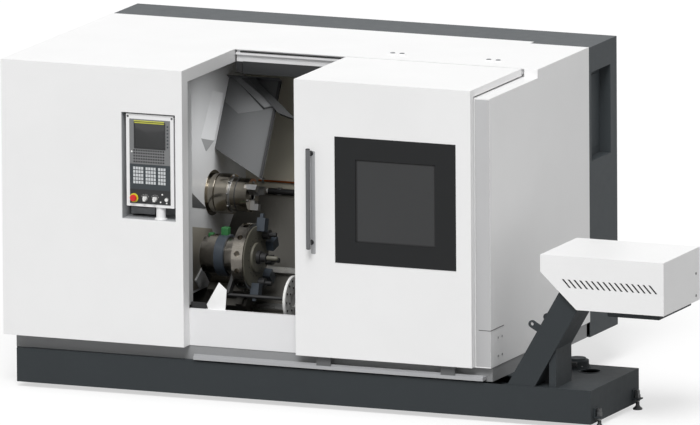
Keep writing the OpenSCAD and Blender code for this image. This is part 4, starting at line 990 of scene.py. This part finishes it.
@dataclass
class ControlPanel:
    """Swivelling control panel in the pocket of the left cover."""

    face: float = 9.0
    pocket: Four = (774.0, 1119.0, 1066.0, 1704.0)
    pocket_deep: float = 180.0
    screen: Pair = (952.0, 1568.0)
    screen_size: Pair = (192.0, 150.0)
    knobs: Pair = (920.0, 984.0)
    start: float = 1058.0
    switch_row: float = 1193.0
    body: str = "control_panel"

    def build(self, shop: Workshop) -> None:
        """Dresses the panel and fits its small pieces."""
        shop.dress(WHITE, "control_box", "control_post")
        shop.dress(DISPLAY, "display_unit")
        shop.dress(SLATE, "key_panel")
        shop.dress(KEYS, "panel_keys")
        shop.dress(BLACK, "switch_panel")
        shop.dress(YELLOW, "estop_ring")
        shop.dress(RED, "estop_button")
        shop.dress(WHITE_PLASTIC, "knob_left", "knob_right", "start_button")
        self.liner(shop)
        self.display(shop)
        self.switches(shop)

    def liner(self, shop: Workshop) -> None:
        """Fits the grey lining of the pocket and the cable box at its foot."""
        left, right, low, high = self.pocket
        deep, x, z = self.pocket_deep, (left + right) / 2, (low + high) / 2
        wide, tall = right - left, high - low
        sheets = Surface.joined(
            slab(Facing.FRONT, (x, deep, z), (wide, tall), 1.6, 0.5, 0.4),
            slab(Facing.RIGHT, (left, deep / 2 + 2, z), (deep - 6, tall), 1.4, 0.5, 0.4),
            slab(Facing.LEFT, (right, deep / 2 + 2, z), (deep - 6, tall), 1.4, 0.5, 0.4),
            slab(Facing.UNDER, (x, deep / 2 + 2, high), (wide, deep - 6), 1.4, 0.5, 0.4),
            slab(Facing.TOP, (x, deep / 2 + 2, low), (wide, deep - 6), 1.4, 0.5, 0.4))
        shop.fit("pocket_liner", sheets, LINER)
        box = slab(Facing.FRONT, (866, deep - 1.6, 1100), (154, 40), 78, 4, 2)
        shop.fit("pocket_cable_box", box, GREY)

    def display(self, shop: Workshop) -> None:
        """Fits the screen with its bezel, the yellow strip and the soft keys beside and below it."""
        x, z = self.screen
        wide, high = self.screen_size
        back = self.face + 2
        screen = slab(Facing.FRONT, (x, back, z), (wide, high), 1, 3, 0.4)
        shop.fit("display_screen", screen, SCREEN, self.body)
        bezel = rim(Facing.FRONT, (x, self.face, z + 3), (wide + 10, high + 14), 5, 1.8, 5)
        shop.fit("display_bezel", bezel, BLACK, self.body)
        strip = slab(Facing.FRONT, (948, back, 1649.5), (194, 17), 3.6, 2, 0.8)
        shop.fit("display_strip", strip, YELLOW_FILM, self.body)
        soft = slab(Facing.FRONT, (1066.5, self.face, 1630), (10, 9), 1.6, 2, 0.8)
        shop.fit("soft_keys", soft.at(spread((0, 0, 0), (0, 0, -20.5), 7)), SLATE, self.body)
        mark = slab(Facing.FRONT, (852, self.face, 1479), (10, 9.5), 1, 1.5, 0.4)
        grid = [(15.6 * k, 0, -17 * row) for row in range(5) for k in range(13)]
        shop.fit("display_keys", mark.at(grid), TOOL_BLACK, self.body)
        lamp = turned(Facing.FRONT, (836, self.face, 1470), ((5.5, 0), (5.5, 1.2), (3.5, 2.2)), 20)
        shop.fit("display_lamp", lamp, WHITE_PLASTIC, self.body)
        screw = turned(Facing.FRONT, (0, self.face + 3, 1680),
                       ((6.5, 0), (6.5, 1.2), (5, 2.4), (2.2, 2.4), (2, 1)), 20)
        shop.fit("control_box_screws", screw.at([(x, 0, 0) for x in (811, 1093)]), BOLT, self.body)

    def switches(self, shop: Workshop) -> None:
        """Fits the rings and pointers of the knobs and the lamps of the switch panel."""
        ring = collar(Facing.FRONT, (0, self.face, self.switch_row), 12.6, 17, 1.6)
        shop.fit("knob_rings", ring.at([(x, 0, 0) for x in self.knobs]), STEEL, self.body)
        start = collar(Facing.FRONT, (self.start, self.face, self.switch_row), 10.4, 13.5, 1.8)
        shop.fit("start_ring", start, STEEL, self.body)
        grip = wedge([(-8, -10, -15), (8, -10, -15), (8, -10, 15), (-8, -10, 15)],
                     [(-4, -18, -12), (4, -18, -12), (4, -18, 13), (-4, -18, 13)])
        for name, x in zip(("mode", "feed"), self.knobs):
            shop.fit(f"{name}_pointer", grip.at([(x, 0, self.switch_row)]), WHITE_PLASTIC, f"{name}_knob")
        lamp = turned(Facing.FRONT, (0, self.face, 0), ((5, 0), (5, 1.5), (3, 3)), 20)
        lamps = [(1019, 0, 1176), (self.start, 0, 1172), (1030, 0, 1222)]
        shop.fit("panel_lamps", lamp.at(lamps), WHITE_PLASTIC, self.body)
        tick = slab(Facing.FRONT, (0, self.face, 0), (1.8, 6), 0.8, 0.4, 0.3)
        marks = [(x + 24 * math.sin(turn), 0, self.switch_row + 24 * math.cos(turn))
                 for x in self.knobs for turn in np.radians((-60, -30, 0, 30, 60))]
        shop.fit("knob_marks", tick.at(marks), WHITE_PLASTIC, self.body)


@dataclass
class WorkSpace:
    """Headstock wall, splash sheets, slant bed and the two spindles."""

    wall: float = 1014.0
    panel_top: Pair = (1054.0, 1746.0)
    slope: float = 60.0
    spindle: Pair = (800.0, 1096.0)
    chuck_face: float = 1265.0
    chuck_back: float = 1145.0
    rear_wall: float = 1286.6
    pipe: Pair = (1279.0, 1092.0)
    wash_bar: Pair = (1266.0, 1035.0)
    apron: float = 112.0

    def build(self, shop: Workshop) -> None:
        """Dresses the work space and fits its small pieces."""
        shop.dress(WALL, "headstock_wall")
        shop.dress(REAR_WALL, "rear_splash")
        # The slanted splash panel is dressed in painted shade.
        shop.dress(SHADE, "splash_panel")
        shop.dress(CASTING, "bed", "headstock", "saddle", "cross_slide", "sub_headstock")
        shop.dress(STEEL, "bed_feet", "spindle_bearings", "sub_spindle")
        shop.dress(WAYS, "upper_rails", "lower_rails")
        # Spindle and chuck steel carry a painted reflection in their beige tint.
        shop.dress(CHROME_PAINTED_REFLECTION, "spindle", "chuck_body")
        shop.dress(STEEL, "chuck_jaw_1", "chuck_jaw_2", "chuck_jaw_3")
        self.wall_sheets(shop)
        self.panel_sheets(shop)
        self.rear_fittings(shop)
        self.chuck(shop)

    def on_wall(self, *places: Pair) -> list[Point]:
        """Places on the headstock wall from their depth and height."""
        return [(self.wall, y, z) for y, z in places]

    def panel_plate(self, out: float, edge: float, places: Sequence[Pair]) -> Surface:
        """Plate on the slanted panel.

        Args:
            out: Thickness, square to the panel.
            edge: Share of the outline by which the plate's face is drawn in.
            places: Corners of the plate, from their X and their way down the slope.

        Returns:
            The plate.
        """
        back, top = self.panel_top
        down, up = math.cos(math.radians(self.slope)), math.sin(math.radians(self.slope))
        corners = [(x, back - t * down, top - t * up) for x, t in places]
        return prism(corners, (0, -out * up, out * down), edge)

    def wall_sheets(self, shop: Workshop) -> None:
        """Fits the folded cover with a wedge of painted shadow under it, a triangle of painted shade and the
        low guard with its fin on the headstock wall.
        """
        flat, lift = self.wall, self.wall + 27
        cover = wedge([(flat, 800, 1707), (flat, 905, 1680), (lift, 905, 1680)],
                      [(flat, 621, 1453), (flat, 757, 1417), (lift, 757, 1417)])
        shop.fit("wall_cover", cover, WALL, crease=10)
        # A darker wedge under the cover is its painted shadow on the wall.
        shadow_wedge = wedge([(flat, 625, 1452), (flat, 757, 1417), (lift, 757, 1417)],
                       [(flat, 690, 1366), (flat, 700, 1362), (flat + 1, 700, 1362)])
        shop.fit("wall_cover_shadow_wedge", shadow_wedge, COVER_SHADOW, crease=10)
        # A dark triangle on the wall is painted shade.
        shade_triangle = prism(self.on_wall((434, 1177), (432, 1073), (697, 1017)), (3, 0, 0))
        shop.fit("wall_shade_triangle", shade_triangle, SHADE)
        sheet = 4
        corners = self.on_wall((200, 1000), (433, 956), (771, 884), (800, 800),
                               (560, 560), (200, 560))
        shop.fit("wall_low_guard", prism(corners, (sheet, 0, 0), 0.005), GUARD)
        corners = self.on_wall((690, 731), (501, 620), (560, 566), (640, 640))
        fin = prism([(x + sheet, y, z) for x, y, z in corners], (10, 0, 0))
        shop.fit("wall_light_fin", fin, WALL)

    def panel_sheets(self, shop: Workshop) -> None:
        """Fits the facet, a line of painted shadow, brace bars and edge strip of the slanted panel and the
        guard of the rail.
        """
        plates = (
            ("panel_facet", FACET, 6, 0.02,
             ((1014.5, 4), (1046, 0), (1274, 190), (1118, 223), (1020, 155))),
            # A thin black plate along the light bar is a painted shadow line.
            ("panel_shadow_line", GASKET, 7, 0.01,
             ((1048, 2), (1056, 2), (1283, 186), (1274, 186))),
            ("panel_light_bar", FACET, 20, 0.03,
             ((1042, 0), (1087, 0), (1344, 163), (1283, 181))),
            ("panel_beam", RAIL, 40, 0.02,
             ((1138, 0), (1189, 0), (1419, 180), (1510, 249), (1388, 215))),
            ("panel_edge_strip", GASKET, 14, 0.01,
             ((1338, 6), (1353, 6), (1353, 616), (1338, 609))))
        for name, finish, out, edge, corners in plates:
            shop.fit(name, self.panel_plate(out, edge, corners), finish)
        guard = Surface.joined(slab(Facing.FRONT, (1535, 812, 1860), (660, 74), 5, 3, 1.5),
                               slab(Facing.UNDER, (1535, 835, 1826), (660, 46), 5, 2, 1))
        shop.fit("roof_rail_guard", guard, RAIL)
        slot = slab(Facing.FRONT, (2040, 797.3, 1957), (1690, 9), 0.8, 0.6, 0.3)
        shop.fit("roof_rail_slot", slot, GASKET)
        stop = slab(Facing.FRONT, (1185, 840, 1863), (40, 64), 38, 5, 3)
        shop.fit("roof_rail_stop", stop, GASKET)

    def rear_fittings(self, shop: Workshop) -> None:
        """Fits the pipe and the wash bar on the rear splash wall, and the flap and seal behind the apron."""
        y, z = self.pipe
        pipe = tube(spread((1100, y, z), (60, 0, 0), 20), 6)
        shop.fit("copper_pipe", pipe, COPPER)
        clip = slab(Facing.FRONT, (0, self.rear_wall, z), (14, 30), 16, 3, 1.5)
        shop.fit("copper_pipe_clips", clip.at([(x, 0, 0) for x in (1130, 1420, 1760, 2180)]), STEEL)
        y, z = self.wash_bar
        bar = tube(spread((1170, y, z), (60, 0, 0), 18), 18, 20)
        shop.fit("wash_bar", bar, TOOL_BLACK)
        post = slab(Facing.FRONT, (0, self.rear_wall, z), (26, 44), 30, 4, 2)
        shop.fit("wash_bar_posts", post.at([(x, 0, 0) for x in (1240, 1700, 2140)]), STEEL)
        nozzle = turned(Facing.LEFT, (1172, y, z), ((15, 0), (15, 8), (9, 20), (4, 24)), 20)
        shop.fit("wash_nozzle", nozzle, WHITE_PLASTIC)
        corners = ((1345, 700), (1394, 658), (1384, 537), (1274, 537), (1265, 563))
        flap = prism([(x, self.apron, z) for x, z in corners], (0, -3, 0), 0.01)
        shop.fit("apron_flap", flap, WHITE)
        seal = slab(Facing.FRONT, (1214, self.apron, 555), (96, 38), 7, 3, 2)
        shop.fit("apron_seal", seal, GASKET)

    def chuck(self, shop: Workshop) -> None:
        """Fits the chuck's groove, band, bore sleeve, screws and flange bolts, and the seal at the wall."""
        y, z = self.spindle
        body = "main_spindle"
        groove = collar(Facing.RIGHT, (1186, y, z), 98, 100.6, 7, 64)
        shop.fit("chuck_groove", groove, TOOL_BLACK, body)
        band = collar(Facing.RIGHT, (self.chuck_back, y, z), 98, 104, 14, 64)
        shop.fit("chuck_band", band, STEEL, body)
        seal = Surface.joined(collar(Facing.RIGHT, (self.wall - 1, y, z), 88, 136, 4, 64),
                              collar(Facing.RIGHT, (self.wall + 2, y, z), 88, 117, 48, 64))
        # The seal takes the same steel with its beige tint of painted reflection.
        shop.fit("spindle_nose_seal", seal, CHROME_PAINTED_REFLECTION)
        sleeve = collar(Facing.RIGHT, (self.chuck_face, y, z), 26, 34, 5)
        shop.fit("chuck_sleeve", sleeve, STEEL, body)
        screw = collar(Facing.RIGHT, (self.chuck_face, y, z), 4, 8, 6, 20)
        shop.fit("chuck_screws", screw.at(round_x(76, 3, 75)), BOLT, body)
        flange = turned(Facing.RIGHT, (self.chuck_back, y, z), ((6.5, 0), (6.5, 6), (5, 8)), 6)
        shop.fit("chuck_flange_bolts", flange.at(round_x(111, 9, 10)), BOLT, body)


@dataclass
class Turret:
    """Indexing turret with its tool blocks and boring bars."""

    axis: Pair = (492.4, 788.4)
    disc_face: float = 1414.0
    arm: Pair = (296.0, 592.0)
    arm_seat: float = 1312.0
    catcher_axis: Pair = (420.0, 567.0)
    catcher_x: float = 1675.0
    catcher_thick: float = 18.0
    disc_body: str = "turret"
    slide_body: str = "tool_slide"

    def build(self, shop: Workshop) -> None:
        """Dresses the turret and fits its small pieces."""
        shop.dress(DISC, "turret_housing", "turret_disc")
        shop.dress(TOOL_SLATE, "tool_blocks")
        shop.dress(TOOL_BLACK, "boring_bars")
        self.disc(shop)
        self.housing(shop)
        self.catcher(shop)

    def disc(self, shop: Workshop) -> None:
        """Fits the oiled face plate with its dots, the studs of the rim and the drive unit on the hub."""
        y, z = self.axis
        face, body = self.disc_face, self.disc_body
        profile = ((184, 0), (184, 3), (181, 5), (87, 5), (86, 16), (83, 18))
        plate = turned(Facing.RIGHT, (face, y, z), profile, 72)
        shop.fit("disc_face_plate", plate, OLIVE, body)
        dot = turned(Facing.RIGHT, (face + 5, y, z), ((4.5, 0), (4.5, 1), (3, 1.8)), 14)
        shop.fit("disc_face_dots", dot.at(round_x(112, 16)), TOOL_BLACK, body)
        stud = ((4, 0), (4, 1), (2.5, 1.6))
        rows = [turned(Facing.RIGHT, (x, y, z), stud, 12).at(round_x(201, 12, 15))
                for x in (face - 54, face - 17)]
        shop.fit("disc_rim_studs", Surface.joined(*rows), BOLT, body)
        drum = turned(Facing.RIGHT, (face + 16, y, z),
                      ((40, 0), (40, 22), (38, 24), (28, 25), (28, 58), (26, 60),
                       (20, 61)), 48)
        shop.fit("hub_drum", drum, TOOL_BLACK, body)
        bar = turned(Facing.RIGHT, (face + 76, y, z),
                     ((14, 0), (14, 60), (12, 64), (8, 70)), 36)
        shop.fit("hub_bar", bar, OLIVE, body)

    def catcher(self, shop: Workshop) -> None:
        """Fits the white catcher disc with its bolts, carried by an arm from the housing past the tools."""
        y, z = self.arm
        seat, body = self.arm_seat, self.slide_body
        corners = ((400, 730), (440, 690), (y + 14, z - 18), (y - 18, z + 14))
        bracket = prism([(seat, back, high) for back, high in corners], (20, 0, 0), 0.02)
        arm = tube(spread((seat + 12, y, z), (36, 0, 0), 11), 11, 16)
        shop.fit("catcher_arm", Surface.joined(bracket, arm), TOOL_BLACK, body)
        y, z = self.catcher_axis
        x, thick = self.catcher_x, self.catcher_thick
        profile = ((132, 0), (140, 3), (140, 13), (136, thick), (44, thick), (40, 14))
        shop.fit("catcher_disc", turned(Facing.RIGHT, (x, y, z), profile, 64), WHITE_PLASTIC, body)
        bolt = turned(Facing.RIGHT, (x + thick, y, z), ((6.5, 0), (6.5, 3), (5, 4.5)), 6)
        bolts = Surface.joined(bolt.at(round_x(116, 14)), bolt.at(round_x(72, 8, 10)))
        shop.fit("catcher_bolts", bolts, TOOL_BLACK, body)

    def housing(self, shop: Workshop) -> None:
        """Fits the slate band, end cap and green fittings of the turret's housing."""
        y, z = self.axis
        band = collar(Facing.RIGHT, (1196, y, z), 108, 125, 60, 64)
        shop.fit("housing_band", band, TOOL_SLATE, self.slide_body)
        cap = turned(Facing.LEFT, (1102, y, z),
                     ((96, 0), (96, 8), (88, 12), (40, 12), (38, 6)), 56)
        shop.fit("housing_cap", cap, STEEL, self.slide_body)
        fittings = Surface.joined(slab(Facing.TOP, (1226, y, z + 118), (46, 44), 50, 6, 5),
                                  slab(Facing.TOP, (1134, y, z + 104), (30, 36), 24, 5, 4))
        shop.fit("housing_fittings", fittings, GREEN, self.slide_body)


@dataclass
class CoolantTank:
    """Dark tank below the machine."""

    feet: tuple[Pair, ...] = ((3761.0, 115.0), (3761.0, 706.0), (43.0, 375.0), (43.0, 706.0))
    bracket_top: float = 68.0
    lid: float = 231.0
    filler: Pair = (3506.0, 593.0)
    pump: Pair = (3390.0, 680.0)

    def build(self, shop: Workshop) -> None:
        """Dresses the tank and fits its small pieces."""
        shop.dress(DARK, "coolant_tank", "tank_foot_brackets", "coolant_pump")
        shop.dress(STEEL, "tank_feet")
        feet = [(x, y, 0) for x, y in self.feet]
        profile = ((17, 0), (19, 2), (19, 22), (17, 24), (15, 25), (15, 46),
                   (12, 48))
        nut = turned(Facing.TOP, (0, 0, self.bracket_top), profile, 6)
        shop.fit("foot_nuts", nut.at(feet), BOLT, crease=20)
        edge = slab(Facing.LEFT, (67, 422, 220), (662, 22), 21, 2, 1)
        shop.fit("tank_end_lip", edge, DARK)
        front = slab(Facing.TOP, (1600, 66, self.lid), (2900, 45), 2, 1, 0.6)
        shop.fit("tank_front_strip", front, DARK)
        cone = turned(Facing.TOP, (0, 0, 0),
                      ((27, 0.5), (29, 4), (27, 9), (17, 17), (11.5, 26), (11, 44)), 32)
        shop.fit("foot_cones", cone.at(feet), BLACK)
        x, y = self.filler
        shop.fit("filler_ring", collar(Facing.TOP, (x, y, self.lid), 60, 70, 3, 48), DARK)
        x, y = self.pump
        fin = collar(Facing.TOP, (x, y, 0), 62.5, 69, 3, 48)
        shop.fit("pump_fins", fin.at(spread((0, 0, 249), (0, 0, 6), 5)), DARK)
        box = slab(Facing.FRONT, (x, y - 60, 262), (52, 28), 22, 4, 2)
        shop.fit("pump_terminal_box", box, BLACK)
        bolt = turned(Facing.TOP, (x, y, 245), ((5, 0), (5, 4), (4, 5)), 6)
        bolts = [(69.5 * math.cos(turn), 69.5 * math.sin(turn), 0)
                 for turn in np.radians((45, 135, 225, 315))]
        shop.fit("pump_bolts", bolt.at(bolts), STEEL)


@dataclass
class Conveyor:
    """Chip conveyor that rises out of the tank, with its white hood."""

    hood_right: float = 4208.0
    hood_low: float = 711.0
    hood_front: float = 20.0
    vents: Pair = (3865.0, 864.0)
    vents_size: Pair = (630.0, 76.0)

    def build(self, shop: Workshop) -> None:
        """Dresses the conveyor and fits its small pieces."""
        shop.dress(DARK, "conveyor_casing", "conveyor_leg")
        shop.dress(WHITE, "conveyor_hood")
        shop.dress(STEEL, "conveyor_belt", "conveyor_shaft")
        shop.dress(BLACK, "conveyor_gearmotor")
        x, z = self.vents
        behind = self.hood_front + 12
        backing = slab(Facing.FRONT, (x, behind, z), self.vents_size, 3, 4, 1)
        shop.fit("vent_backing", backing, GASKET)
        stay = slab(Facing.FRONT, (x, behind, z), (12, 12), 8, 2, 1)
        corners = [(dx, 0, dz) for dx in (-300, 300) for dz in (-31, 31)]
        shop.fit("vent_backing_stays", stay.at(corners), STEEL)
        chute = rim(Facing.UNDER, (4000, 310, self.hood_low), (330, 500), 14, 34, 8)
        shop.fit("hood_chute_collar", chute, DARK)
        screw = turned(Facing.RIGHT, (self.hood_right, 0, 0), ((8, 0), (8, 1.5), (6, 3)), 20)
        shop.fit("hood_screws", screw.at([(0, 522, z) for z in (745, 877)]), BOLT)


def main() -> None:
    """Builds the studio and each sub-assembly."""
    logging.basicConfig(level=logging.INFO, format="%(name)s: %(message)s", stream=sys.stdout)
    shop = Workshop()
    Studio().build()
    for part in (Enclosure(), Door(), ControlPanel(), WorkSpace(), Turret(), CoolantTank(), Conveyor()):
        part.build(shop)
    LOG.info("%d pieces fitted", len(shop.made))


if __name__ == "__main__":
    main()
